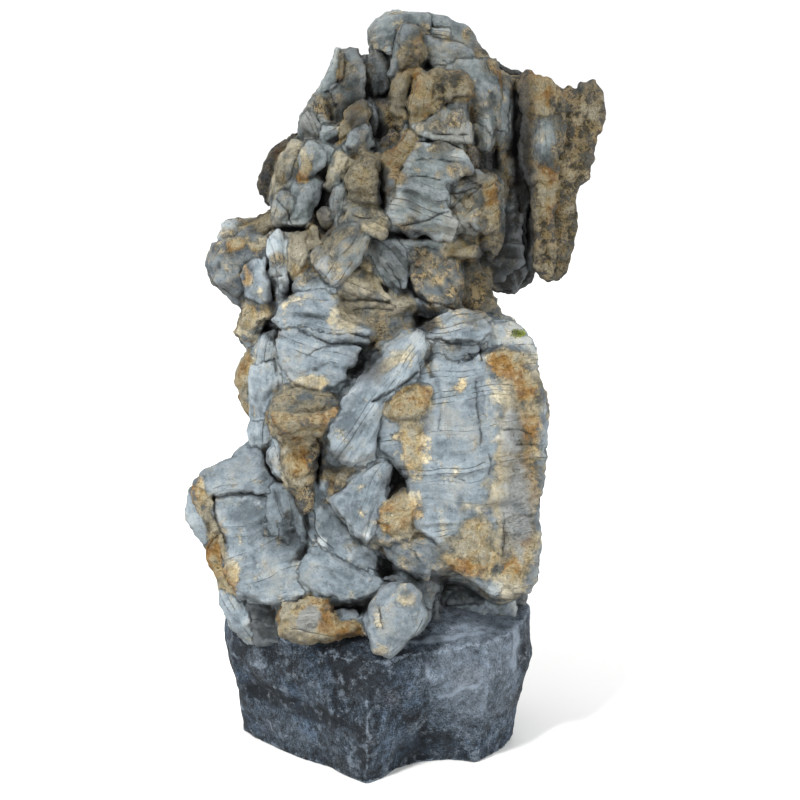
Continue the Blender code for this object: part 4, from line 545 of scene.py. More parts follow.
# The rock's left and right edges and its farthest point behind, at heights on the drawing plane.
BACK_ROWS = [
    (42, -33, 36, 17), (52, -42, 42, 22), (62, -46, 43, 25), (72, -41, 44, 26), (82, -30, 44, 25),
    (92, -32, 44, 23), (102, -32, 41, 22), (112, -31, 34, 21), (122, -35, 29, 22), (132, -37, 38, 24),
    (142, -23, 42, 24), (152, -25, 43, 24), (162, -17, 42, 23), (171, -12, 38, 21), (179, -1, 27, 18),
    (186, 2, 19, 15),
]
BACK_LEAN = 14.0
ROW_SHIFT = 3.0
LUMP_CORNERS = [(-0.5, -0.28), (0.0, -0.5), (0.5, -0.3), (0.46, 0.26), (0.05, 0.5), (-0.48, 0.3)]
CORNER_SHIFT = 0.08

# Side lumps. The starts hold a height, and how far back the first lump of a row begins below and above it.
LEFT_LUMP_START = (118.0, 2.0, 9.0)
RIGHT_LUMP_START = (108.0, -10.0, 12.0)
SIDE_LUMP_WIDTH = (8.0, 15.0)
SIDE_LUMP_HEIGHT = (11.0, 23.0)
SIDE_LUMP_DEPTH = (8.0, 13.0)
SIDE_LUMP_INSET = (0.8, 3.2)
SIDE_LUMP_ROUNDING = 2.5
SIDE_LUMP_OVERLAP = 0.7
SIDE_LUMP_LEAN = 15.0
SIDE_DRAW_IN = 0.012
SIDE_END = 4.0

# Back slabs: they start inside the cores, and the back falls away towards the left and right edges.
BACK_SLAB_START = 2.0
BACK_SLAB_WIDTH = (9.0, 19.0)
BACK_SLAB_HEIGHT = (15.0, 30.0)
BACK_SLAB_PITCH = 11.0
BACK_SLAB_ROUNDING = (1.5, 3.5)
BACK_SLAB_RELIEF = (-3.0, 2.0)
BACK_SLAB_LEAN = 12.0
BACK_REACH = 0.86
BACK_FALL = 0.72
BACK_EDGE_ROOM = 6.0
CROWN_START = 170.0
CROWN_SLAB_SHARE = 0.6

# Stains that cover a whole form, by kind: amount, the forms. The dark kind is painted shade on forms that lie
# in shade. They keep a little of the stone's own colour.
FORM_STAINS = {
    "ochre": [
        (1.0, "high_tooth_right high_tooth_left ochre_finger ochre_tooth_low plate_rib fin_ochre "
              "column_edge ochre_knob ochre_rim plate_ledge seam_foot"),
        (0.8, "plate_foot ochre_lump seam_rib cap_rim"),
        (0.6, "tan_pillar ochre_shelf ochre_elbow knob_foot great_tooth brow ochre_ledge"),
        (0.4, "right_flange"),
        (0.35, "wing_right wing_front nose_tail plate_hem layered_wedge elbow_chip arm_ridge"),
    ],
    "tan": [
        (0.9, "layered_wedge tan_pillar arm_ridge tan_chip plate_hem ochre_lump plate_foot great_tooth"),
        (0.7, "cap_top cap_rim waist_panel right_flange plate_lip layered_mass curved_slab plate_heel "
              "tooth_fold wing_right pale_leg tan_face elbow_chip"),
    ],
    "brown": [
        (0.9, "brown_patch small_lump cap_stem ear side_slab arm_shelf brow ochre_ledge ochre_shelf"),
        (0.85, "wing_right wing_front"),
        (0.6, "nose_tail waist_lump waist_mass layered_mass waist_rib"),
        (0.4, "waist_ledge speckled_slab hollow_rim nose cap_top arm"),
        (0.35, "horn_right neck_slab leg_foot elbow_slab tongue cap_rim rough_foot"),
    ],
    # Painted shade on the forms that lie in shade.
    "dark": [
        (1.0, "toe_recess under_plate broken_ledge wing_wall wing_root throat arm_shelf top_core "
              "middle_core left_seat leg_gap gap_wedge dark_chip fin_side"),
        (0.7, "ear side_slab toe_back neck_slab dark_slab grey_panel shade_face"),
        (0.5, "low_core column_strip grey_sliver lobe_recess hollow_ridge horn_right arm_underside "
              "waist_rib"),
        (0.3, "rough_foot shoulder_band tooth_side horn_slope"),
    ],
}

# Forms paler than their neighbours, or deeper where the amount is below 0.
FORM_TONES = [
    (1.0, "outer_fin curved_slab thumb_slab neck_block arm_back fin_ochre layered_mass elbow_chip "
          "right_flange"),
    (0.6, "left_neck horn_left column_low waist_panel pale_leg ochre_elbow ochre_knob plate_foot"),
    (0.4, "stem_rib seam_rib great_tooth ochre_tooth_low layered_wedge plate_rib"),
    (-0.5, "breast_lip tilted_block left_lobe_top arm waist_lump neck_shoulder tongue"),
    (-1.0, "middle_toe rear_ridge shoulder_band column_strip rough_foot horn_slope dark_slab dark_chip "
           "broken_ledge tooth_side"),
]

# Forms whose beds lie across their long way.
CROSS_BEDDED = ("column_body", "column_top", "column_edge", "great_plate", "great_tooth", "nose", "left_lobe")

# Forms that melt into what lies beside them, and how many times softer their seams are.
SOFT_FORMS = (
    "belly", "twisted_rib", "lobe_recess", "plate_rib", "plate_foot", "plate_heel", "plate_ledge",
    "ochre_knob", "knob_foot", "cap_rim", "cap_top", "column_strip", "column_low", "layered_mass")
SOFT_SEAM = 5.0

# Soft oval stains on the face, by kind: x, z, half width, half height, lean in degrees, amount. The dark ones
# are painted shade.
PATCHES = {
    "ochre": [
        (40.5, 70, 3.2, 13.0, 0, 0.6), (42.5, 172, 2.6, 6.0, 12, 1.0), (40.5, 158, 2.0, 8.0, 0, 1.0),
        (45, 147, 2.6, 7.0, 0, 0.9), (-45, 66, 1.2, 4.0, 15, 0.9), (-42.6, 59.5, 1.1, 3.6, 20, 0.9),
        (-40.6, 53.5, 1.1, 3.6, 20, 0.9), (39, 50, 3.6, 9.0, 0, 0.65), (27, 50, 6, 4, -25, 0.7),
        (30, 146, 2.0, 3.0, 0, 0.8), (42, 171, 2.4, 3.0, 0, 0.95), (-8, 177, 1.2, 3.4, 0, 0.9),
        (-17, 152.5, 1.2, 3.2, 15, 0.95), (-18.3, 149.5, 1.3, 1.6, 0, 1.0), (-35, 132.5, 2.8, 1.8, 0, 0.9),
        (-6, 135.5, 2.6, 1.6, 20, 0.6), (-16.5, 96.3, 4.2, 1.5, 0, 0.8), (-32.5, 114, 2.6, 3.6, 0, 1.0),
        (-32.5, 124, 1.0, 3.2, 0, 0.6), (22, 131, 4.4, 1.4, 0, 0.9), (12, 128, 1.5, 1.4, 0, 0.7),
        (30.3, 141, 2.2, 6.0, 8, 0.85), (-22.5, 85, 3.0, 2.4, 0, 0.95), (-20.5, 76.5, 3.4, 7.0, -6, 1.0),
        (7.0, 62, 2.4, 4.6, 0, 1.0), (10.5, 80, 3.4, 8.5, 0, 0.75), (11, 62, 2.6, 4.5, 0, 0.6),
        (-3, 148, 1.6, 3.4, 0, 0.7), (22.7, 94.5, 1.9, 2.8, 0, 0.6), (14.5, 110.6, 1.5, 1.3, 0, 0.95),
        (16.5, 112.6, 4.2, 1.0, 15, 0.6), (35, 102, 4.6, 3.4, 0, 1.0), (38.5, 98.5, 1.9, 3.6, 0, 0.95),
        (39.6, 94, 3.0, 2.4, 0, 0.9), (40.5, 85, 2.9, 5.4, 0, 0.75), (24, 47.5, 4.8, 2.0, -30, 1.0),
        (37, 46.5, 2.5, 3.8, 0, 0.85), (38.5, 59.5, 2.0, 2.2, 0, 0.75), (-42.8, 65, 1.3, 2.2, 0, 0.6),
        (-38.3, 44.5, 1.9, 4.2, 0, 0.85), (-22, 34, 2.4, 2.4, 0, 1.0), (-18.5, 29.5, 2.8, 1.7, 0, 0.8),
        (43, 169, 1.9, 4.8, 18, 1.0), (41.4, 160.5, 1.6, 5.2, 0, 0.95), (44, 150.5, 1.6, 4.0, 0, 1.0),
        (32.5, 175, 1.1, 1.1, 0, 0.9), (4, 188.7, 1.7, 1.0, 0, 0.7)],
    "tan": [
        (37, 75, 6.0, 27.0, 0, 0.95), (41.5, 92, 3.0, 14.0, 0, 0.6), (31, 63, 9.0, 3.0, 0, 0.5),
        (50, 150, 3.0, 16.0, 0, 0.6), (31, 53, 11.5, 8.5, 0, 0.75), (-6, 114.5, 4.6, 4.8, 0, 0.7),
        (12, 92, 4.0, 3.0, 0, 0.6), (22, 52, 3.0, 6.0, 0, 0.6), (5, 101.7, 5.6, 1.4, 35, 0.8),
        (25, 112, 2.4, 1.3, 0, 0.6), (34, 95, 3.4, 3.4, 0, 0.35), (26.5, 56, 6.2, 4.8, 0, 0.8),
        (42, 56, 1.3, 6.6, 0, 0.85), (2, 23.8, 2.4, 1.2, 0, 0.7), (9, 39, 2.8, 2.8, 0, 0.55),
        (46, 136.5, 4.6, 11.0, 0, 0.8), (30, 121, 3.6, 4.4, 0, 0.5)],
    "brown": [
        (-41.8, 57, 2.0, 8.0, 15, 0.7), (-36, 130, 4.5, 6.0, 0, 0.5), (30, 140, 4.0, 8.0, 0, 0.7),
        (45, 128, 3.6, 6.0, 0, 0.8), (5, 164, 2.6, 4.0, 0, 0.7), (28, 181, 2.4, 2.2, -30, 0.7),
        (25, 165, 2.5, 5.0, 0, 0.4), (8, 88.3, 5.4, 1.1, 0, 0.9), (42.3, 94, 2.4, 3.4, 0, 0.5),
        (41.5, 68.5, 1.7, 3.8, 0, 0.6), (-12, 33, 2.4, 4.4, 0, 0.95), (52.5, 163, 5.4, 8.5, 0, 0.7),
        (46.5, 136, 4.2, 10.0, 0, 0.6), (27, 120, 6.0, 7.0, 0, 0.6)],
    # Painted shade in the hollows of the face.
    "dark": [
        (6.0, 70.5, 3.2, 4.6, 0, 1.0), (11.5, 44.5, 3.0, 2.6, 0, 0.8), (25.5, 150, 3.0, 4.0, 0, 0.6),
        (38, 150, 3.2, 24.0, 0, 0.9), (-21.5, 121.5, 2.0, 2.6, 0, 0.9), (2.5, 172, 2.4, 5.0, 0, 0.9),
        (-4, 163, 2.6, 4.0, 0, 0.7), (9.5, 144, 1.8, 5.0, 20, 0.6), (27.5, 90, 2.0, 12.0, 0, 0.3),
        (31, 64, 4.5, 1.4, 0, 0.5), (28, 88, 0.8, 11.0, 0, 0.45), (30, 70, 1.1, 9.0, 0, 0.45),
        (34.4, 56, 0.9, 8.0, 0, 0.5), (-22, 59, 4.2, 9.5, -20, 0.5), (-27, 55, 4.0, 4.0, 0, 0.35),
        (-36, 120, 4.0, 4.0, 0, 0.6), (-4, 170, 3.5, 8.0, 0, 0.6), (2, 160, 3.0, 5.0, 0, 0.6),
        (-14.6, 76, 0.9, 5.0, -12, 0.9), (-20.5, 91.6, 1.7, 0.9, 0, 0.6), (2.4, 147, 1.2, 6.0, 0, 1.0),
        (-26.3, 121, 1.2, 6.5, 5, 1.0), (-21.5, 136.3, 4.0, 0.8, -8, 0.6), (23, 64.5, 1.5, 4.0, 0, 0.55),
        (33, 64.5, 5.6, 1.7, 0, 0.55), (-26, 110.5, 2.3, 2.8, 0, 1.0), (-1.5, 100.7, 6.2, 4.6, 0, 0.8),
        (13.5, 111.8, 3.7, 2.9, 0, 1.0), (9.5, 135, 6.8, 1.2, 0, 0.95), (28, 129.5, 1.3, 3.7, 0, 0.8),
        (29.5, 153, 2.8, 3.4, 0, 0.85), (-12.5, 143.5, 2.7, 6.8, 0, 0.75), (-28, 74.5, 2.1, 5.8, 0, 0.6),
        (-11, 75, 5.2, 4.2, 0, 0.55), (3.5, 47, 2.7, 3.1, 0, 0.95), (-6, 36, 6.4, 2.1, 0, 0.75),
        (14, 177, 1.3, 1.3, 0, 1.0), (-39.3, 127.5, 0.9, 1.3, 0, 1.0), (35.5, 138, 3.4, 15.0, 0, 0.5)],
    "white": [
        (38, 64, 4.5, 13.0, 0, 0.85), (36, 84, 4.0, 8.0, 0, 0.75), (-17, 33.5, 3.6, 3.4, 0, 1.0),
        (-13, 53.5, 1.1, 1.7, 0, 0.9), (-30, 65, 1.3, 0.9, 0, 0.8), (-28, 64, 1.0, 0.8, 0, 0.7),
        (-2, 56.5, 1.4, 1.7, 0, 0.7), (-6.6, 94, 1.9, 2.2, 0, 0.6), (7, 69.5, 0.7, 0.9, 0, 0.9)],
}

# Furrows and cracks: half width, depth, then the points of the line.
CRACKS = [
    (4.2, 1.3, [(-27, 69), (-24, 63), (-21, 57), (-19.5, 50)]),
    (3.0, 0.9, [(-31, 61), (-27, 58), (-23.5, 53), (-22, 48)]),
    (2.0, 1.5, [(-21, 91.3), (-15.5, 91)]),
    (1.5, 1.2, [(11, 127), (15, 123), (19.5, 117.5)]),
    (1.0, 0.8, [(14, 128.5), (18, 125), (21.5, 120)]),
    (1.6, 1.0, [(-14, 52), (-12, 46), (-8, 42)]),
    (1.5, 0.9, [(12, 84), (11, 76), (14, 68), (20, 62)]),
    (1.6, 0.8, [(20, 96), (19, 88), (21, 80)]),
    (1.2, 0.9, [(15, 100), (18, 92), (17, 84)]),
    (1.4, 0.9, [(-20, 114), (-12, 113), (-6, 111)]),
    (1.3, 0.8, [(-18, 99), (-12, 101), (-7, 100)]),
    (1.3, 0.9, [(-4, 127), (0, 124), (3, 121)]),
    (1.4, 1.0, [(17, 172), (19, 166), (21, 161)]),
    (1.3, 0.9, [(-13, 172), (-11, 167), (-10, 163)]),
    (1.4, 1.2, [(30, 170), (31, 160), (31, 150), (32, 140)]),
    (1.4, 1.2, [(36, 172), (36, 160), (37, 148), (37, 136)]),
    (1.2, 0.8, [(42.5, 140), (44, 134), (45, 128)]),
    (0.55, 1.3, [(-42, 67), (-41.5, 62), (-40.5, 57.5), (-39, 54)]),
    (0.4, 0.8, [(-42.5, 66.5), (-35, 67.5), (-30, 66.8), (-27, 67.5)]),
    (0.35, 0.6, [(-29, 56), (-25, 55), (-22.5, 53)]),
    (0.45, 0.9, [(-41, 56.5), (-43.8, 52.3)]),
    (0.35, 0.6, [(-15.5, 56), (-14, 52.5), (-11, 50)]),
    (0.35, 0.5, [(-26, 124), (-23.5, 124.2)]),
    (0.4, 0.7, [(-17.3, 103.3), (-15, 105.2), (-11, 106)]),
    (0.4, 0.7, [(-28, 101.8), (-25.7, 102.8)]),
    (0.4, 0.7, [(3.5, 127.5), (5, 125.5), (7, 123), (7.5, 121)]),
    (0.6, 1.3, [(9, 124), (9.5, 121.5), (11, 119), (14, 117.7), (19, 116.5), (21, 115.5)]),
    (0.4, 0.8, [(-8, 118), (2, 118), (6, 116.5)]),
    (0.35, 0.6, [(-5, 115.5), (0, 116), (5, 115.7)]),
    (0.4, 0.7, [(15, 160.5), (19, 160.1), (24, 160.3)]),
    (0.35, 0.5, [(12, 158.5), (16, 158), (21, 158.3)]),
    (0.35, 0.6, [(9, 153.4), (15, 154), (23.5, 153.2)]),
    (0.35, 0.6, [(9.5, 149.5), (14, 149.4), (19, 148.4)]),
    (0.4, 0.7, [(7, 137.3), (12, 138), (16, 139.5), (19.5, 140.8)]),
    (0.35, 0.6, [(22, 149.5), (28, 147.3)]),
    (0.35, 0.6, [(19, 144.8), (24, 146), (28, 147.3)]),
    (0.35, 0.6, [(24, 144), (28, 147.3)]),
    (0.6, 1.6, [(10, 174), (9, 170), (8.8, 166), (9, 162)]),
    (0.5, 1.1, [(-7, 180), (-6.8, 177), (-7.5, 174), (-9, 172), (-12, 170.5)]),
    (0.4, 0.7, [(-18.5, 156), (-20.5, 150), (-22, 148)]),
    (0.35, 0.6, [(-24.5, 144), (-22, 141), (-20.5, 137)]),
    (0.4, 0.7, [(-5, 140), (-3, 138.8), (0, 139)]),
    (0.6, 1.6, [(0, 91.5), (4, 94), (8, 96.5), (11.5, 99.3)]),
    (0.4, 0.7, [(14, 108), (17, 107.8), (20, 107), (23, 107), (26, 107.5)]),
    (0.4, 0.9, [(27.5, 107), (28, 102)]),
    (0.35, 0.6, [(24.5, 104.5), (26, 103)]),
    (0.35, 0.6, [(30, 104.5), (34, 105.2)]),
    (0.35, 0.45, [(26.5, 97), (27, 91), (28, 84), (28, 80)]),
    (0.3, 0.4, [(28.5, 95), (28.7, 91)]),
    (0.35, 0.5, [(34, 84), (38, 84.3), (41, 83)]),
    (0.35, 0.5, [(37, 80), (43, 80)]),
    (0.35, 0.5, [(30, 78), (31, 76), (30.5, 72)]),
    (0.35, 0.5, [(34, 62), (34.6, 56), (33.8, 50)]),
    (0.35, 0.5, [(21, 71.5), (24, 70.5)]),
    (0.4, 0.7, [(10.7, 51.8), (12, 49.3)]),
    (0.4, 0.7, [(1.7, 36), (2.3, 30)]),
    (0.4, 0.8, [(-30, 112.5), (-27.5, 113.5)]),
]

# The share of its amount that a whole form's stain keeps, and the depth where the painted shade of a dark one
# has faded out.
FORM_STAIN_SHARE = 0.85
DARK_DEPTH = 9.0

# Clear grey ovals that the warm stains leave out: x, z, half width, half height.
CLEAR_OVALS = [(44, 159, 4.0, 6.5), (24, 84, 8, 9), (13, 152, 6, 4), (-14, 104, 7, 3.5), (5, 186, 6, 5)]
WARM_KINDS = ("ochre", "tan", "brown")

# Random soft stains: kind, size, seed, strength of the finer patches, value they start from, most.
HIGH_STAINS = [("brown", 8, 96, 0.5, 0.1, 0.5), ("ochre", 6, 97, 0.5, 0.3, 0.6)]
HIDDEN_STAINS = [("ochre", 15, 91, 0.4, 0.05, 0.85), ("brown", 19, 92, 0.4, 0.0, 0.85),
                 ("tan", 13, 93, 0.4, 0.25, 0.85)]

# The oval on the right shoulder that the moss grows in: x, z, half width, half height.
MOSS_OVAL = (37.4, 109.4, 2.0, 1.5)


def linear(code):
    """A colour's sRGB hex code as linear red, green, blue and full opacity."""
    values = [int(code[i:i + 2], 16) / 255 for i in (1, 3, 5)]
    return [v / 12.92 if v <= 0.04045 else ((v + 0.055) / 1.055) ** 2.4 for v in values] + [1.0]


def carried(points):
    """World places, in metres, of points given as x and z on the drawing plane and their depth, in cm."""
    eye_x, eye_y, eye_z = SIGHT_POINT
    x, z, depth = points[:, 0], points[:, 1], points[:, 2]
    reach = (depth - eye_y) / -eye_y
    return np.stack([eye_x + (x - eye_x) * reach, depth, eye_z + (z - eye_z) * reach], axis=1) * CM


def drawn(places):
    """The reverse of carried: drawing-plane x, z and depth, in cm, of world places in metres."""
    eye_x, eye_y, eye_z = SIGHT_POINT
    x, depth, z = places[:, 0] / CM, places[:, 1] / CM, places[:, 2] / CM
    reach = (depth - eye_y) / -eye_y
    return np.stack([eye_x + (x - eye_x) / reach, eye_z + (z - eye_z) / reach, depth], axis=1)


def plane_points(x_axis, z_axis):
    """Where each x and z of the drawing plane meet: as a grid of x, a grid of z, and rows of both."""
    x, z = np.meshgrid(x_axis, z_axis, indexing="ij")
    return x, z, np.stack([x.ravel(), z.ravel()], axis=1)


def inside_oval(points, oval, level, fall):
    """How far drawn points lie inside a soft oval: 1 in its middle, falling to 0 outside."""
    return np.clip(level - fall * spread_from(points, *oval), 0, 1)


def spread_from(points, x, z, half_width, half_height, lean=0):
    """How far drawn points lie from the middle of a leaning oval: 0 there and 1 on its rim."""
    turn = math.radians(lean)
    across = (points[:, 0] - x) * math.cos(turn) + (points[:, 1] - z) * math.sin(turn)
    along = (points[:, 1] - z) * math.cos(turn) - (points[:, 0] - x) * math.sin(turn)
    return np.hypot(across / half_width, along / half_height)


def grain(points, size, seed):
    """Smooth random values from -1 to 1 at points, with lumps of about that size."""
    table = np.random.default_rng(seed).uniform(-1, 1, [NOISE_PERIOD] * 3)
    cell = points / size
    base = np.floor(cell).astype(np.int64)
    part = cell - base
    part = part * part * (3 - 2 * part)
    total = np.zeros(len(points))
    for corner in np.ndindex(*[2] * points.shape[1]):
        weight = np.ones(len(points))
        for axis, step in enumerate(corner):
            weight *= part[:, axis] if step else 1 - part[:, axis]
        at = [(base[:, axis] + step) % NOISE_PERIOD for axis, step in enumerate(corner)]
        total += weight * table[tuple(at + [0] * (3 - len(at)))]
    return total


def strayed(points, reach, size, seed):
    """The drawn x and z of points, strayed at random by up to the reach, in lumps of about that size."""
    shift = np.stack([grain(points, size, seed), grain(points, size, seed + 1)], axis=1)
    return points[:, :2] + reach * shift


def scallops(points, size, seed):
    """Shallow bowls of about that size, from 0 in their middles to about 1 on the sharp rims between them."""
    jitter = np.random.default_rng(seed).uniform(0.1, 0.9, [NOISE_PERIOD] * 3 + [3])
    cell = points / size
    base = np.floor(cell).astype(np.int64)
    nearest = np.full(len(points), np.inf)
    for step in np.ndindex(3, 3, 3):
        other = base + np.array(step) - 1
        middle = other + jitter[tuple((other % NOISE_PERIOD).T)]
        nearest = np.minimum(nearest, ((cell - middle) ** 2).sum(axis=1))
    return nearest


def mixed(points, layers, kind=grain):
    """Random layers of one kind, each an amount, a size and a seed, added up at points."""
    return sum(amount * kind(points, size, seed) for amount, size, seed in layers)


def window_sums(values, width, axis):
    """Sums of values over a window that reaches the width, in cells, both ways along one axis."""
    total = np.cumsum(values, axis=axis)
    last = values.shape[axis] - 1
    ahead = np.take(total, np.minimum(np.arange(last + 1) + width, last), axis=axis)
    behind = np.take(total, np.maximum(np.arange(last + 1) - width - 1, 0), axis=axis)
    return ahead - behind


def cloud_field(shape, cell, rng):
    """Smooth random values on the grid, with lumps of about `cell` steps."""
    field = rng.uniform(-2, 2, [count // cell + 4 for count in shape]).astype(np.float32)
    for axis, count in enumerate(shape):
        at = np.arange(count) / cell
        base = at.astype(int)
        t = (at - base).astype(np.float32)
        weights = [(1 - t) ** 3, 3 * t ** 3 - 6 * t ** 2 + 4, -3 * t ** 3 + 3 * t ** 2 + 3 * t + 1, t ** 3]
        spread = [-1 if other == axis else 1 for other in range(3)]
        field = sum(np.take(field, base + k, axis=axis) * (weights[k] / 6).reshape(spread) for k in range(4))
    return field


def outline_distance(outline, x, z):
    """Distance in cm from points of the drawing plane to an outline, negative inside it."""
    nearest = np.full(x.shape, np.inf)
    inside = np.zeros(x.shape, bool)
    for (x1, z1), (x2, z2) in zip(outline, outline[1:] + outline[:1]):
        run, rise = x2 - x1, z2 - z1
        part = np.clip(((x - x1) * run + (z - z1) * rise) / (run * run + rise * rise + 1e-9), 0, 1)
        nearest = np.minimum(nearest, (x - x1 - part * run) ** 2 + (z - z1 - part * rise) ** 2)
        if rise:
            inside ^= ((z1 > z) != (z2 > z)) & (x < x1 + (z - z1) * run / rise)
    return np.where(inside, -1, 1) * np.sqrt(nearest)


def line_distance(points, line):
    """Distance in cm from points of the drawing plane to an open line."""
    nearest = np.full(len(points), np.inf)
    for start, end in zip(line, line[1:]):
        run = np.array(end, float) - start
        part = np.clip((points - start) @ run / (run @ run), 0, 1)
        nearest = np.minimum(nearest, ((points - start - part[:, None] * run) ** 2).sum(axis=1))
    return np.sqrt(nearest)


def leaning_hexagon(rng, x, z, width, height, lean):
    """An uneven six-sided outline round (x, z), turned by its lean in degrees, inside the rows."""
    cosine = math.cos(math.radians(lean))
    sine = math.sin(math.radians(lean))
    z += rng.uniform(-ROW_SHIFT, ROW_SHIFT)
    outline = []
    for u, v in LUMP_CORNERS:
        across = (u + rng.uniform(-CORNER_SHIFT, CORNER_SHIFT)) * width
        along = (v + rng.uniform(-CORNER_SHIFT, CORNER_SHIFT)) * height
        outline.append(held_within_rows(x + across * cosine - along * sine,
                                        z + across * sine + along * cosine))
    return outline


def held_within_rows(x, z):
    """Move a point inside the rows' heights, and inside the rock's left and right edges there."""
    z = min(max(z, BACK_ROWS[0][0]), BACK_ROWS[-1][0])
    for lower, upper in zip(BACK_ROWS, BACK_ROWS[1:]):
        if z <= upper[0]:
            break
    part = (z - lower[0]) / (upper[0] - lower[0])
    left = lower[1] + (upper[1] - lower[1]) * part
    right = lower[2] + (upper[2] - lower[2]) * part
    return min(max(x, left), right), z


def side_lumps():
    """The lumps of the left and right sides, row by row, as forms."""
    rng = random.Random(SIDE_SEED)
    for z, left, right, farthest in BACK_ROWS:
        for edge, outward, start in ((left, -1, LEFT_LUMP_START), (right, 1, RIGHT_LUMP_START)):
            change_height, low_start, high_start = start
            depth = low_start if z < change_height else high_start
            while depth < farthest - SIDE_END:
                inset = rng.uniform(*SIDE_LUMP_INSET) + SIDE_DRAW_IN * max(depth, 0) ** 2
                width = rng.uniform(*SIDE_LUMP_WIDTH)
                height = rng.uniform(*SIDE_LUMP_HEIGHT)
                thickness = rng.uniform(*SIDE_LUMP_DEPTH)
                lean = BACK_LEAN + rng.uniform(-SIDE_LUMP_LEAN, SIDE_LUMP_LEAN)
                centre = edge - outward * (inset + width / 2)
                outline = leaning_hexagon(rng, centre, z, width, height, lean)
                yield depth, thickness, SIDE_LUMP_ROUNDING, 0, 0, outline
                depth += thickness * SIDE_LUMP_OVERLAP


def back_slabs():
    """The upright slabs of the back, row by row, as forms."""
    rng = random.Random(BACK_SEED)
    for z, left, right, farthest in BACK_ROWS:
        half = (right - left) / 2
        middle = (right + left) / 2
        steps = max(2, round((right - left) / BACK_SLAB_PITCH))
        for step in range(steps):
            across = BACK_REACH * (2 * (step + rng.uniform(0.3, 0.7)) / steps - 1)
            fall = math.sqrt(1 - BACK_FALL * across * across)
            back = farthest * fall + rng.uniform(*BACK_SLAB_RELIEF)
            width = min(rng.uniform(*BACK_SLAB_WIDTH), 2 * half * (1 - abs(across)) + BACK_EDGE_ROOM)
            height = rng.uniform(*BACK_SLAB_HEIGHT) * (CROWN_SLAB_SHARE if z > CROWN_START else 1.0)
            lean = BACK_LEAN + rng.uniform(-BACK_SLAB_LEAN, BACK_SLAB_LEAN)
            outline = leaning_hexagon(rng, middle + across * half, z, width, height, lean)
            yield BACK_SLAB_START, back - BACK_SLAB_START, rng.uniform(*BACK_SLAB_ROUNDING), 0, 0, outline


def spread_out(values, reach, pick):
    """The lowest or the highest value, as picked, within reach of each place of the drawing plane."""
    for axis in (0, 1):
        best = values
        for shift in range(1, reach + 1):
            best = pick(pick(best, np.roll(values, shift, axis)), np.roll(values, -shift, axis))
        values = best
    return values


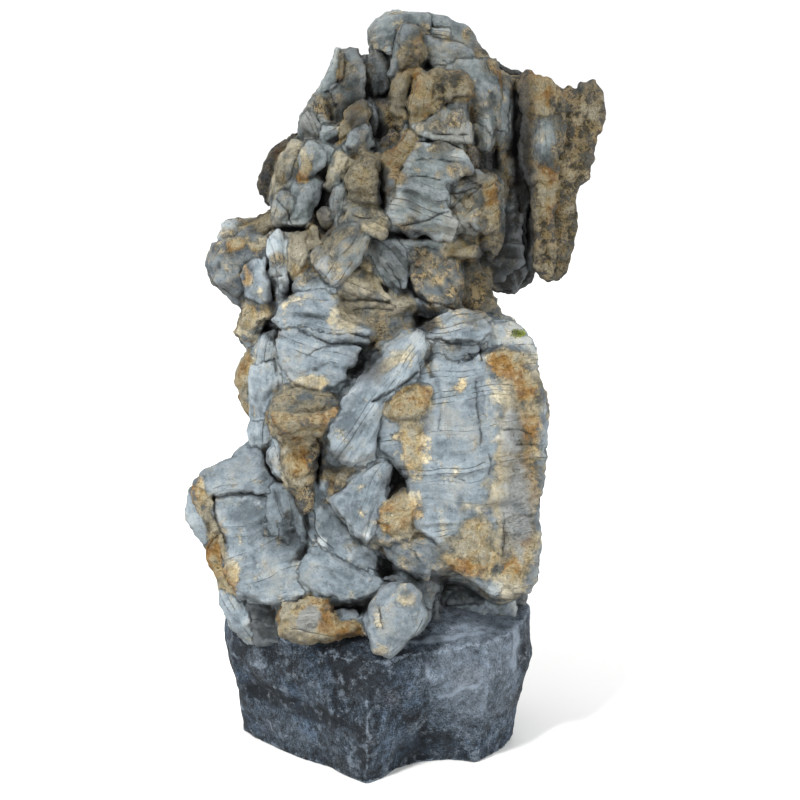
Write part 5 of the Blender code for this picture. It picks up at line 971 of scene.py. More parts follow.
class StoneField:
    """The stone as a grid of distances to its skin, over x and z on the drawing plane and depth."""

    def __init__(self, step):
        self.step = step
        self.axes = [np.arange(low, high, step) for low, high in zip(GRID_LOW, GRID_HIGH)]
        self.shape = [len(axis) for axis in self.axes]
        self.distance = np.full(self.shape, OUTSIDE, np.float32)
        self.owner = np.full(self.shape, -1, np.int16)
        self.runs = {}

    def add(self, form, number, blend, wobble, swell, bed_axis=1):
        """Blend one form into the stone, its outline and face wavy, and note which form owns each place.

        Its beds run along its long way, or across it where the axis of its beds is 0.
        """
        front, thickness, rounding, slope_right, slope_up, outline = form
        rounding = ROUNDING_SHARE * rounding
        reach = rounding + OUTLINE_ROOM
        corners = np.array(outline)
        lows = [*(corners.min(axis=0) - reach), front - FRONT_ROOM]
        highs = [*(corners.max(axis=0) + reach), front + thickness + BACK_ROOM]
        box = tuple(slice(*np.searchsorted(axis, ends)) for axis, *ends in zip(self.axes, lows, highs))
        x, z, flat = plane_points(self.axes[0][box[0]], self.axes[1][box[1]])
        y = self.axes[2][box[2]]
        if not (x.size and y.size):
            return
        bend_x, bend_z = (mixed(flat, bends).reshape(x.shape) for bends in (SIDEWAYS_BENDS, UPWARD_BENDS))
        edge = outline_distance(outline, x + wobble * bend_x, z + wobble * bend_z)
        middle = corners.mean(axis=0)
        self.runs[number] = middle, np.linalg.eigh(np.cov((corners - middle).T))[1][:, bed_axis]
        right, up = x - middle[0], z - middle[1]
        rng = np.random.default_rng(300 + number)
        levels = rng.uniform(-1, 1, BED_LEVELS)
        ripple = self.ripple(number, flat, levels).reshape(x.shape)
        swollen = swell * np.minimum(np.maximum(-edge, 0) / SWELL_REACH, 1)
        face = front + (slope_right * right + slope_up * up) + ripple - swollen
        face = face + self.facets(rng, corners - middle, right, up)
        behind_face = y - face[..., None]
        cut_back = self.facets(rng, corners - middle, right, up)
        tilt_right, tilt_up = rng.uniform(-1, 1, 2) * BACK_TILT
        cut_back += tilt_right * right + tilt_up * up + ripple
        cut_back *= min(1, thickness / FULL_BACK_FACETS)
        depth = np.maximum(-behind_face, y - (front + thickness) + cut_back[..., None])
        stagger = self.steps(levels, np.clip(behind_face / STRATUM + BED_LEVELS / 4, 0, BED_LEVELS - 2))
        beside = (edge - OUTLINE_GROWTH + rounding)[..., None] + STRATUM_STAGGER * stagger
        depth = depth + rounding
        solid = np.hypot(np.maximum(beside, 0), np.maximum(depth, 0))
        solid += np.minimum(np.maximum(beside, depth), 0) - rounding
        old = self.distance[box]
        self.owner[box] = np.where(solid < old, number, self.owner[box])
        share = np.clip(0.5 + 0.5 * (old - solid) / blend, 0, 1)
        self.distance[box] = old + (solid - old) * share - blend * share * (1 - share)

    def ripple(self, number, points, levels):
        """How far the ridges and the beds of one form step its face back at drawn points, in cm."""
        flow, drift, bed = self.bedding(number, points)
        ridges = 0.3 * drift + 0.5 * (0.4 - np.abs(grain(flow, 4.2, 80 + number)))
        return ridges + BED_STAGGER * self.steps(levels, bed)

    def bedding(self, number, points):
        """Flow coordinates along one form, their slow drift, and the bed that each drawn point lies in."""
        middle, long_way = self.runs[number]
        along = (points - middle) @ long_way
        across = (points - middle) @ (long_way[1], -long_way[0])
        flow = np.stack([across, along / 2.6], axis=1)
        drift = grain(flow, 6.0, 40 + number)
        bend = 1.6 * drift + 0.5 * grain(flow, 2.4, 160 + number) + 1.2 * grain(points, 8.0, 240)
        bed = (across + bend) / BED_WIDTH + BED_LEVELS / 2
        return flow, drift, np.clip(bed, 0, BED_LEVELS - 2)

    @staticmethod
    def steps(levels, place):
        """The level of the layer that each place lies in, with a short slope from one layer to the next."""
        low = place.astype(int)
        blend_up = np.clip(4 * (place - low) - 3, 0, 1)
        return levels[low] * (1 - blend_up) + levels[low + 1] * blend_up

    @staticmethod
    def facets(rng, corners, x, z):
        """How far flat breaks cut a form's face back towards its edges, in cm."""
        fall = np.zeros(x.shape)
        breaks = rng.uniform(FACET_LOWEST, FACET_HIGHEST, (3, FACET_COUNT))
        for turn, start, steep in zip(*breaks):
            across, up = math.cos(turn), math.sin(turn)
            reach = (corners @ (across, up)).max()
            slope = steep * min(FACET_SLOPE, FACET_FALL / reach)
            fall = np.maximum(fall, slope * (x * across + z * up - start * reach))
        return fall

    def weather(self, depth):
        """Roughen the whole skin, coarse and fine."""
        rng = np.random.default_rng(5)
        for share, size in WEATHER_LAYERS:
            self.distance += share * depth * cloud_field(self.shape, round(size / self.step), rng)

    def fill_gaps(self, width, floors):
        """Fill the face's gaps narrower than the width, in cm, from floors a given depth behind the face."""
        front = self.front_depth()
        reach = round(width / 2 / self.step)
        level = spread_out(spread_out(front, reach, np.minimum), reach, np.maximum)
        for turn in range(4):
            level = (level + sum(np.roll(level, step, axis) for axis in (0, 1) for step in (2, -2))) / 5
        flat = plane_points(*self.axes[:2])[2]
        rumple = np.abs(mixed(flat, FLOOR_RIDGES)) + mixed(flat, FLOOR_LUMPS)
        level = level + rumple.reshape(level.shape)
        for row in range(self.shape[0]):
            floor = (level[row] + floors[row])[:, None]
            near = (self.axes[2] <= front[row][:, None] + 1.0) & (front[row] < FAR_DEPTH)[:, None]
            filled = np.minimum(self.distance[row], floor - self.axes[2])
            self.distance[row] = np.where(near, filled, self.distance[row])

    def front_depth(self):
        """Depth of the foremost skin at each place of the drawing plane."""
        inside = self.distance < 0
        nearest = self.axes[2][np.argmax(inside, axis=2)]
        return np.where(inside.any(axis=2), nearest, FAR_DEPTH)

    def shade(self, radius):
        """How enclosed each place is: the share of stone within a radius, in cm."""
        share = (self.distance < 0).astype(np.float32)
        width = round(radius / self.step)
        for axis in range(3):
            share = window_sums(share, width, axis) / (2 * width + 1)
        return share

    def cells_of(self, points):
        """Grid indices of the cells nearest to drawn points."""
        at = np.rint((points - GRID_LOW) / self.step).astype(int)
        return tuple(np.clip(at[:, axis], 0, self.shape[axis] - 1) for axis in range(3))

    def skin(self):
        """The stone's skin as drawn points and four-sided faces: one point for each cell that it crosses."""
        inside = self.distance < 0
        ends = (slice(0, -1), slice(1, None))
        filled = sum(inside[ends[a], ends[b], ends[c]].astype(np.int8) for a, b, c in np.ndindex(2, 2, 2))
        crossed = (filled > 0) & (filled < 8)
        cells = np.argwhere(crossed)
        number = np.full(crossed.shape, -1, np.int32)
        number[crossed] = np.arange(len(cells))
        corners = np.array(list(np.ndindex(2, 2, 2)))
        values = np.stack([self.distance[tuple((cells + corner).T)] for corner in corners], axis=1)
        total = np.zeros((len(cells), 3))
        count = np.zeros(len(cells))
        for first, second in [(a, b) for a in range(8) for b in range(a, 8)
                              if np.abs(corners[a] - corners[b]).sum() == 1]:
            cut = (values[:, first] < 0) != (values[:, second] < 0)
            gap = np.where(cut, values[:, first] - values[:, second], 1)
            part = np.where(cut, values[:, first] / gap, 0)
            total += cut[:, None] * (corners[first] + part[:, None] * (corners[second] - corners[first]))
            count += cut
        points = GRID_LOW + (cells + total / count[:, None]) * self.step
        quads = []
        for axis in range(3):
            side, up = [other for other in range(3) if other != axis]
            lower = np.take(inside, range(self.shape[axis] - 1), axis=axis)
            upper = np.take(inside, range(1, self.shape[axis]), axis=axis)
            for leaving in (True, False):
                at = np.argwhere(lower & ~upper if leaving else upper & ~lower)
                at = at[(at[:, side] > 0) & (at[:, up] > 0)]
                at = at[(at[:, side] < self.shape[side] - 1) & (at[:, up] < self.shape[up] - 1)]
                ring = []
                for back_side, back_up in ((0, 0), (1, 0), (1, 1), (0, 1)):
                    cell = at.copy()
                    cell[:, side] -= back_side
                    cell[:, up] -= back_up
                    ring.append(number[tuple(cell.T)])
                quad = np.stack(ring, axis=1)
                quads.append(quad if leaving == (axis == 1) else quad[:, ::-1])
        return points, np.concatenate(quads)


def whole_forms():
    """Every drawn form with its name, in order."""
    for group in (CORES, LOW_FORMS, PLATE_FORMS, LEFT_FORMS, RIGHT_FORMS, HIGH_FORMS):
        yield from group.items()


def largest_shell(points, quads):
    """Only the biggest connected skin: sealed gaps between the forms are left out."""
    label = np.arange(len(points))
    pairs = np.concatenate([quads[:, :2], quads[:, 1:3], quads[:, 2:]])
    while True:
        low = np.minimum(label[pairs[:, 0]], label[pairs[:, 1]])
        new = label.copy()
        np.minimum.at(new, pairs[:, 0], low)
        np.minimum.at(new, pairs[:, 1], low)
        new = new[new]
        if (new == label).all():
            break
        label = new
    biggest = np.argmax(np.bincount(label))
    kept = label == biggest
    number = np.cumsum(kept) - 1
    return points[kept], number[quads[kept[quads[:, 0]]]]


def mesh_from(name, places, quads):
    """A Blender mesh from arrays of world places and four-sided faces."""
    mesh = bpy.data.meshes.new(name)
    mesh.vertices.add(len(places))
    mesh.vertices.foreach_set("co", places.ravel())
    mesh.loops.add(quads.size)
    mesh.loops.foreach_set("vertex_index", quads.ravel())
    mesh.polygons.add(len(quads))
    mesh.polygons.foreach_set("loop_start", np.arange(0, quads.size, 4))
    mesh.update(calc_edges=True)
    mesh.validate()
    return mesh


def linked(name, data):
    """A new object of the scene that holds a mesh, a light or a camera."""
    item = bpy.data.objects.new(name, data)
    bpy.context.scene.collection.objects.link(item)
    return item


def baked(holder):
    """The mesh of an object with its modifiers applied. The object is then taken away."""
    graph = bpy.context.evaluated_depsgraph_get()
    mesh = bpy.data.meshes.new_from_object(holder.evaluated_get(graph), depsgraph=graph)
    bpy.data.objects.remove(holder, do_unlink=True)
    return mesh


def point_values(source, kind):
    """The places or the normals of a mesh's points as an array of rows of three."""
    values = np.empty(len(source) * 3)
    source.foreach_get(kind, values)
    return values.reshape(-1, 3)


def swept(reached, open_places):
    """Spread the reached places through the open ones, along every axis both ways."""
    for axis in range(3):
        places = np.moveaxis(reached, axis, 0)
        passage = np.moveaxis(open_places, axis, 0)
        for order in (range(1, len(places)), range(len(places) - 2, -1, -1)):
            step = 1 if order.step > 0 else -1
            for i in order:
                places[i] |= places[i - step] & passage[i]
    return reached


def close_pockets(field, mouth):
    """Fill the gaps behind the forms that no opening wider than the mouth, in cm, leads to."""
    open_places = field.distance > mouth / 2
    reached = np.zeros(field.shape, bool)
    reached[:, :, 0] = open_places[:, :, 0]
    reached[:, :, -1] = open_places[:, :, -1]
    found = 0
    while reached.sum() > found:
        found = reached.sum()
        reached = swept(reached, open_places)
    width = round(0.95 * mouth / field.step)
    near = reached.astype(np.int32)
    for axis in range(3):
        near = (window_sums(near, width, axis) > 0).astype(np.int32)
    field.distance[(field.distance > 0) & (near == 0)] = POCKET_INSIDE


def gap_floors(field, depth):
    """How deep the gaps of the face may be, in cm, over the drawing plane: deeper in the dark hollows."""
    flat = plane_points(*field.axes[:2])[2]
    floors = depth * (1 + 0.5 * grain(flat, 4.0, 51))
    for *upright_oval, lean, amount in PATCHES["dark"]:
        floors += DARK_GAP_DEPTH * amount * inside_oval(flat, upright_oval, *FLOOR_SOFTNESS)
    return floors.reshape(field.shape[:2])


def exposed(points, field, front):
    """1 on the foremost skin, falling to 0 for what lies a little behind it."""
    across, up, depth = field.cells_of(points)
    return np.clip(1.8 - (points[:, 2] - front[across, up]) / 1.2, 0, 1)


def cut_cracks(points, shown, depth_scale):
    """Push furrows and cracks into the face along the lines of sight, and give how near each thin crack is,
    for the shade painted in it.
    """
    flat = strayed(points[:, :2], *CRACK_STRAY)
    push = np.zeros(len(points))
    dark = np.zeros(len(points))
    for half_width, depth, line in CRACKS:
        ends = np.array(line)
        near = ((flat > ends.min(axis=0) - 3) & (flat < ends.max(axis=0) + 3)).all(axis=1)
        part = np.clip(1 - line_distance(flat[near], line) / half_width, 0, 1)
        push[near] = np.maximum(push[near], 0.7 * depth * part * part * (3 - 2 * part))
        if half_width < 1:
            dark[near] = np.maximum(dark[near], part)
    points[:, 2] += push * shown * depth_scale
    return dark * shown


def belongs(owner, names):
    """Which places belong to one of the forms named."""
    chosen = names.split()
    return np.isin(owner, [number for number, (name, form) in enumerate(whole_forms()) if name in chosen])


def stains(points, field, shown):
    """How far each kind of stain covers each place, from 0 to 1. The dark kind is painted shade."""
    owner = field.owner[field.cells_of(points)]
    flat = strayed(points[:, :2], *STAIN_STRAY)
    cover = {kind: np.zeros(len(points)) for kind in PATCHES}
    for kind, groups in FORM_STAINS.items():
        for amount, names in groups:
            cover[kind][belongs(owner, names)] = amount * FORM_STAIN_SHARE
    # The painted shade of the dark kind is kept to the foremost skin and to places in front of the dark
    # depth.
    cover["dark"] *= np.maximum(shown, np.clip((DARK_DEPTH - points[:, 2]) / 4, 0, 1))
    for kind, ovals in PATCHES.items():
        for *oval, amount in ovals:
            near = (np.abs(flat - oval[:2]) < 1.7 * max(oval[2:4])).all(axis=1)
            soft = amount * inside_oval(flat[near], oval, *STAIN_SOFTNESS) * shown[near]
            cover[kind][near] = np.maximum(cover[kind][near], soft)
    add_drifts(cover, points, HIGH_STAINS, shown * np.clip((points[:, 1] - 105) / 20, 0, 1))
    for oval in CLEAR_OVALS:
        kept = 1 - 0.8 * inside_oval(flat, oval, *CLEAR_SOFTNESS)
        for kind in WARM_KINDS:
            cover[kind] *= kept
    add_drifts(cover, points, HIDDEN_STAINS, 1 - shown)
    return cover


def add_drifts(cover, points, drifts, where):
    """Add random soft stains where they are wanted."""
    for kind, size, seed, finer, start, most in drifts:
        drift = grain(points, size, seed) + finer * grain(points, size / 3, seed + 5)
        cover[kind] = np.maximum(cover[kind], where * np.clip(1.4 * (drift - start), 0, most))


def form_flow(points, field):
    """Coordinates in cm that run with each form: across its beds, along them and into the stone."""
    owner = field.owner[field.cells_of(points)]
    flow = points.copy()
    for number in field.runs:
        owned = owner == number
        if owned.any():
            runs, drift, bed = field.bedding(number, points[owned, :2])
            flow[owned, 0] = bed * BED_WIDTH + FLOW_SPACING * (number % 50)
            flow[owned, 1] = runs[:, 1]
    return flow


def own_tones(points, field):
    """The own tone of the form that each place belongs to, from -1 to 1."""
    owner = field.owner[field.cells_of(points)]
    tones = np.random.default_rng(700).uniform(-0.4, 0.4, TONE_COUNT)[owner]
    for amount, names in FORM_TONES:
        tones[belongs(owner, names)] = amount
    return tones


def eased(mesh, values, rounds):
    """Values of a mesh's points, averaged with their neighbours' a few times."""
    edges = np.empty(len(mesh.edges) * 2, np.int32)
    mesh.edges.foreach_get("vertices", edges)
    a, b = edges.reshape(-1, 2).T
    count = np.bincount(a, minlength=len(values)) + np.bincount(b, minlength=len(values))
    for turn in range(rounds):
        total = np.bincount(a, values[b], len(values)) + np.bincount(b, values[a], len(values))
        values = 0.4 * values + 0.6 * total / np.maximum(count, 1)
    return values


def write_value(mesh, name, values):
    """Store one number for each point of a mesh, for the materials to read."""
    attribute = mesh.attributes.new(name, "FLOAT", "POINT")
    attribute.data.foreach_set("value", values.astype(np.float32))


def roughness_depth(points, flow, cover, relief):
    """How far the skin stands out, in cm: ridges and creases along each form, crumbs on the stained rock."""
    crumbly = np.clip(cover["ochre"] + cover["brown"] + 0.7 * cover["tan"], 0, 1)
    ridges = sum(height * (CREST - np.abs(grain(flow, size, seed))) for height, size, seed in STONE_RIDGES)
    depth = ridges + mixed(points, STONE_GRAIN) + mixed(flow * (1, 1.6, 1), STONE_BOWLS, scallops)
    crumbs = mixed(points, CRUMB_LUMPS) + mixed(points, CRUMB_BOWLS, scallops) + mixed(points, CRUMB_GRAIN)
    return relief * (depth * (1 - CRUMBLED_SHARE * crumbly) + crumbs * crumbly)


def top_heights(body, points):
    """Height of a body's top at each place in plan, or -1 beside it."""
    tree = BVHTree.FromObject(body, bpy.context.evaluated_depsgraph_get())
    heights = np.full(len(points), -1.0)
    for i, (x, y, z) in enumerate(points):
        place = tree.ray_cast(Vector((x, y, 3.0)), Vector((0, 0, -1)))[0]
        if place:
            heights[i] = place.z
    return heights


def rest_on(places, body):
    """Raise what would sink into the body's top until it lies on it."""
    low = np.flatnonzero(places[:, 2] < SEAT_TOP)
    heights = top_heights(body, places[low])
    places[low, 2] = np.where(heights > 0, np.maximum(places[low, 2], heights), places[low, 2])


def stone_field(sizes):
    """The grid with every form in it, weathered, with its narrow gaps and pockets filled."""
    field = StoneField(sizes.grid_step / CM)
    wobble, swell = sizes.edge_waviness / CM, sizes.face_swell / CM
    for number, (name, form) in enumerate(whole_forms()):
        seam = sizes.seam_blend / CM * (SOFT_SEAM if name in SOFT_FORMS else 1)
        field.add(form, number, seam, wobble, swell, 0 if name in CROSS_BEDDED else 1)
    for number, form in enumerate([*side_lumps(), *back_slabs()], start=FIRST_LUMP):
        field.add(form, number, LUMP_BLEND, wobble, swell)
    field.weather(sizes.weather_depth / CM)
    field.fill_gaps(WIDEST_GAP, gap_floors(field, sizes.gap_depth / CM))
    close_pockets(field, POCKET_MOUTH)
    return field


def thinned(mesh, shown, triangles):
    """The mesh brought down to a count of triangles, most of them kept where it is shown."""
    rock = linked("rock", mesh)
    group = rock.vertex_groups.new(name="behind")
    group.add(np.flatnonzero(shown < 0.5).tolist(), 1.0, "REPLACE")
    group.add(np.flatnonzero(shown >= 0.5).tolist(), 0.25, "REPLACE")
    thin = rock.modifiers.new("thin", "DECIMATE")
    thin.ratio = triangles / (2 * len(mesh.polygons))
    thin.vertex_group = group.name
    thin.vertex_group_factor = 3.0
    return baked(rock)


def write_stone_values(mesh, field, front):
    """Store the stains of the finished stone at its points, with its hollows, downward faces and thin cracks
    that take painted shade and its edges that take a painted highlight.
    """
    points = drawn(point_values(mesh.vertices, "co"))
    shown = exposed(points, field, front)
    for kind, values in stains(points, field, shown).items():
        write_value(mesh, kind, eased(mesh, values, 5 if kind != "dark" else 2))
    cells = field.cells_of(points)
    # About half of what is near a flat face is stone. There is more of it in a hollow, and less at an edge.
    # The first value paints shade into the narrow seams and hollows, the second into the broader hollows.
    for name, radius, steep in (("hollow", 1.7, 3.6), ("broad_hollow_shade", 4.2, 4.2)):
        enclosed = eased(mesh, field.shade(radius)[cells], 1)
        write_value(mesh, name, np.clip(steep * (enclosed - HOLLOW_SHARE), 0, 1))
    # Faces that turn downwards get painted shade.
    upward = point_values(mesh.vertex_normals, "vector")[:, 2]
    write_value(mesh, "underside", np.clip(-0.1 - upward, 0, 1))
    # Proud edges get a painted highlight.
    write_value(mesh, "edge", np.clip(3.4 * (EDGE_SHARE - field.shade(1.3)[cells]), 0, 1))
    # Thin cracks take painted shade.
    write_value(mesh, "crack", cut_cracks(points.copy(), shown, 0.0))
    flow = form_flow(points, field)
    write_value(mesh, "bed", flow[:, 0] / BED_WIDTH)
    write_value(mesh, "run", flow[:, 1])
    write_value(mesh, "own_tone", eased(mesh, own_tones(points, field), 2))
    # How far the darkening of the upper stone has come, rising with height.
    height = points[:, 1] - DARKENING_START + 0.7 * np.minimum(points[:, 0], 0) + mixed(points, DARKENING_DRIFT)
    write_value(mesh, "upper_darkening", np.clip(height / DARKENING_FADE, 0, 1))


def make_stone_mesh(sizes, stand):
    """The stone's finished skin, with its stains stored at its points."""
    field = stone_field(sizes)
    front = field.front_depth()
    points, quads = largest_shell(*field.skin())
    shown = exposed(points, field, front)
    cut_cracks(points, shown, sizes.crack_depth_scale)
    cover = stains(points, field, shown)
    places = carried(points)
    mesh = mesh_from("rock", places, quads)
    relief = roughness_depth(points, form_flow(points, field), cover, sizes.crumb_scale)
    places = places + point_values(mesh.vertex_normals, "vector") * (relief[:, None] * CM)
    rest_on(places, stand)
    mesh.vertices.foreach_set("co", places.ravel())
    finished = thinned(mesh, shown, sizes.triangles)
    write_stone_values(finished, field, front)
    return finished


# Soft oval tones on the stand's front, by kind: x, z, half width, half height, lean in degrees, amount.
STAND_TONES = {
    # Partly a pale bloom, partly painted light on the lit right facets.
    "bloom_and_painted_light": [
        (-31.5, 21, 3.0, 5.0, 0, 0.4), (-15.5, 12, 5.0, 5.4, 0, 0.25), (-22, 1, 12.0, 3.2, -24, 0.3),
        (5, 9, 4.0, 7.0, 0, 0.15), (28, 18, 17.0, 17.0, 8, 0.5), (29, 34, 14.0, 6.0, 8, 0.65),
        (20, 28, 12.0, 1.0, 10, 1.0), (24, 14, 8.0, 1.0, 18, 0.9), (37.5, 24, 0.9, 10.0, 0, 1.0),
        (14.5, 20, 0.8, 6.0, 8, 0.7)],
    "plum": [
        (26, 17, 6.0, 3.6, 0, 0.5), (5.5, 11, 3.2, 3.6, 0, 0.4)],
    # Partly a dark stain, partly painted shade on the facets in shade.
    "soot_and_painted_shade": [
        (-28, 12, 9.0, 2.6, -22, 0.9), (-14, 6, 9.0, 2.6, -22, 0.9), (-2, -3, 3.0, 8.0, 0, 0.7),
        (-2, 17, 9.0, 7.0, 0, 0.6), (14, -2, 11.0, 4.0, 12, 0.5), (41, 20, 2.4, 14.0, 0, 0.8),
        (-38, 25, 5.0, 6.0, 0, 0.6), (-26, 22, 3.0, 6.0, 0, 0.4), (4, 28, 16.0, 2.0, 0, 0.6)],
}

# Grooves of the stand's front: half width, depth, then the points of the line.
STAND_GROOVES = [
    (1.6, 0.5, [(-28, 25), (-28.4, 12)]), (1.4, 0.4, [(-10.3, 17), (-10.5, 5)]),
    (1.8, 0.5, [(14.5, 24), (14, 10), (13, 0)]), (2.2, 0.6, [(-33, 14), (-20, 9), (-6, 2)]),
]


def curvature(mesh, rounds):
    """How far each point stands proud of its eased surroundings, in metres: below 0 in a hollow."""
    places = point_values(mesh.vertices, "co")
    normals = point_values(mesh.vertex_normals, "vector")
    smooth = np.stack([eased(mesh, places[:, axis], rounds) for axis in range(3)], axis=1)
    return ((places - smooth) * normals).sum(axis=1)


def dense_stand(grid):
    """A dense, softened copy of the stand's solid."""
    block = linked("block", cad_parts["stand"].data.copy())
    block.matrix_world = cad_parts["stand"].matrix_world
    joined = bmesh.new()
    joined.from_mesh(block.data)
    bmesh.ops.transform(joined, matrix=block.matrix_world, verts=joined.verts)
    bmesh.ops.remove_doubles(joined, verts=joined.verts, dist=WELD)
    joined.to_mesh(block.data)
    joined.free()
    block.matrix_world.identity()
    dense = block.modifiers.new("dense", "REMESH")
    dense.mode = "VOXEL"
    dense.voxel_size = grid
    soften = block.modifiers.new("soften", "SMOOTH")
    soften.iterations = 2
    return baked(block)


def hewn_relief(places, forward):
    """How far the stand's skin stands out, in cm: tool-worn bowls, and grooves where it faces forward."""
    in_cm = places / CM
    relief = mixed(in_cm, HEWN_LUMPS)
    relief += mixed(in_cm, HEWN_BOWLS, scallops) - HEWN_LEVEL
    points = drawn(places)
    bent = points[:, :2] + 0.4 * grain(points, 3.0, 205)[:, None]
    for half_width, depth, line in STAND_GROOVES:
        relief -= depth * forward * np.clip(1 - line_distance(bent, line) / half_width, 0, 1)
    return relief


def make_stand_mesh(sizes):
    """The stand's hewn skin over its solid, with its tones stored at its points: some of them painted light
    and shade, with a painted highlight on its edges and painted shade in its hollows.
    """
    mesh = dense_stand(sizes.facet_grid)
    places = point_values(mesh.vertices, "co")
    normals = point_values(mesh.vertex_normals, "vector")
    in_cm = places / CM
    relief = hewn_relief(places, np.clip(-normals[:, 1] * 2, 0, 1))
    relief[places[:, 2] < FLAT_FOOT] = 0
    places = places + normals * (relief * sizes.hewn_scale * CM)[:, None]
    places[:, 2] = np.maximum(places[:, 2], 0)
    mesh.vertices.foreach_set("co", places.ravel())
    mesh.update()
    proud = curvature(mesh, 8)
    # Proud edges get a painted highlight, and hollows painted shade.
    write_value(mesh, "edge", np.clip(proud / FULL_EDGE, 0, 1))
    write_value(mesh, "hollow", np.clip(-proud / FULL_HOLLOW, 0, 1))
    flat = strayed(drawn(places), *STAND_STRAY)
    seen = np.clip(1.5 * normals[:, 2] - 2 * normals[:, 1], 0, 1)
    # Bloom and soot, partly tones of the stone and partly painted light and shade, on the faces that turn up
    # and forward.
    for kind, seed in (("bloom_and_painted_light", 225), ("plum", 224), ("soot_and_painted_shade", 224)):
        cover = np.clip(0.8 * grain(in_cm, 9, seed), 0, 0.2)
        for *oval, amount in STAND_TONES[kind]:
            cover = np.maximum(cover, amount * seen * inside_oval(flat, oval, *TONE_SOFTNESS))
        write_value(mesh, kind, cover)
    return mesh


def add_node(tree, kind, sockets=None, take=None, stops=(), **settings):
    """Add a node with its settings and colour stops, set or link its sockets, and give one of its outputs."""
    node = tree.nodes.new(kind)
    for name, value in settings.items():
        setattr(node, name, value)
    for number, (place, shade) in enumerate(stops):
        ramp = node.color_ramp.elements
        element = ramp[number] if number < 2 else ramp.new(place)
        element.position, element.color = place, shade
    known = {item.identifier: item for item in node.inputs}
    for name, value in (sockets or {}).items():
        socket = known.get(name) or node.inputs[name]
        if isinstance(value, bpy.types.NodeSocket):
            tree.links.new(value, socket)
        else:
            socket.default_value = value
    return next(item for item in node.outputs if take in (item.identifier, item.name, None) and item.enabled)


def start_material(name):
    """A new material's tree and its shader."""
    material = bpy.data.materials.new(name)
    material.use_nodes = True
    tree = material.node_tree
    return material, tree, tree.nodes["Principled BSDF"]


def limestone_values(tree, place):
    """The stains, the painted shade and highlight, the noises and the sums that the limestone's colour and
    relief are mixed from, by name.
    """
    value = {}
    for name in (*PATCHES, "hollow", "broad_hollow_shade", "underside", "edge", "crack", "bed", "run", "own_tone",
                 "upper_darkening"):
        value[name] = add_node(tree, "ShaderNodeAttribute", take="Fac", attribute_name=name)
    # Coordinates that run with each form, so that layers follow it: across its beds, along them and into it.
    across = add_node(tree, "ShaderNodeMath", {"Value": value["bed"], "Value_001": BED_WIDTH * CM},
                      operation="MULTIPLY")
    along = add_node(tree, "ShaderNodeMath", {"Value": value["run"], "Value_001": CM}, operation="MULTIPLY")
    into = add_node(tree, "ShaderNodeSeparateXYZ", {"Vector": place}, take="Y")
    flow = add_node(tree, "ShaderNodeCombineXYZ", {"X": across, "Y": along, "Z": into})
    # Noises: name, coordinates, size in metres, detail, roughness. Real limestone's grit is finer than 3 mm.
    for name, at, size, detail, rough in (
            ("clouds", place, 0.14, 3.0, 0.55), ("mottle", place, 0.028, 6.0, 0.62),
            ("crumbs", place, 0.008, 5.0, 0.7), ("grit", place, 0.003, 3.0, 0.7),
            ("layers", flow, 0.006, 5.0, 0.7), ("blots", place, 0.04, 4.0, 0.6),
            ("folds", flow, 0.05, 4.0, 0.55), ("wrinkles", flow, 0.014, 4.0, 0.6),
            ("fleck", place, 0.0055, 2.0, 0.5)):
        value[name] = add_node(tree, "ShaderNodeTexNoise", {"Vector": at, "Scale": 1 / size, "Detail": detail,
                                                            "Roughness": rough})
    # Weighted sums: name, what it starts from, then what is added and how much of it.
    for name, start, *terms in (
            ("tone", -0.42, ("clouds", 0.85), ("mottle", 0.55), ("layers", 0.16), ("grit", 0.14),
             ("own_tone", 0.11)),
            ("break_up", -1.05, ("blots", 1.2), ("mottle", 0.55), ("crumbs", 0.2), ("grit", 0.15)),
            ("granular", -0.67, ("clouds", 0.9), ("blots", 0.6), ("mottle", 0.4), ("crumbs", 0.24),
             ("grit", 0.2), ("own_tone", 0.1)),
            ("gritty", -1.7, ("mottle", 1.8), ("crumbs", 1.5), ("grit", 1.1)),
            ("ochre_reach", 0.0, ("ochre", 1.25), ("break_up", 1.8)),
            ("tan_reach", 0.0, ("tan", 1.15), ("break_up", 1.6)),
            ("brown_reach", 0.0, ("brown", 1.15), ("break_up", 1.6)),
            ("white_reach", 0.0, ("white", 1.0), ("break_up", 1.0)),
            # Where the painted shade of the dark kind reaches, a little broken up.
            ("dark_shade_reach", 0.0, ("dark", 1.0), ("break_up", 0.5)),
            ("grime", 0.0, ("clouds", 1.0), ("mottle", 0.7)),
            # Where the painted shade of the broad hollows reaches, a little broken up.
            ("broad_hollow_shade_reach", 0.0, ("broad_hollow_shade", 1.0), ("break_up", 0.55)),
            # Where the painted highlight of the proud edges reaches, broken up.
            ("edge_highlight_reach", 0.0, ("edge", 1.0), ("break_up", 0.9)),
            ("crumbly", 0.0, ("ochre", 1.0), ("brown", 1.0), ("tan", 0.7)),
            ("coarse_height", 0.0, ("crumbs", 0.9), ("mottle", 0.9), ("grit", 0.35)),
            ("roughness", 0.6, ("crumbly", 0.12), ("mottle", 0.25)),
            # How strongly the narrow hollows take their painted shade: more towards the top.
            ("hollow_shade_strength", 0.75, ("upper_darkening", 0.45))):
        for term, weight in terms:
            start = add_node(tree, "ShaderNodeMath", {"Value": value[term], "Value_001": weight,
                                                      "Value_002": start}, operation="MULTIPLY_ADD")
        value[name] = start
    return value


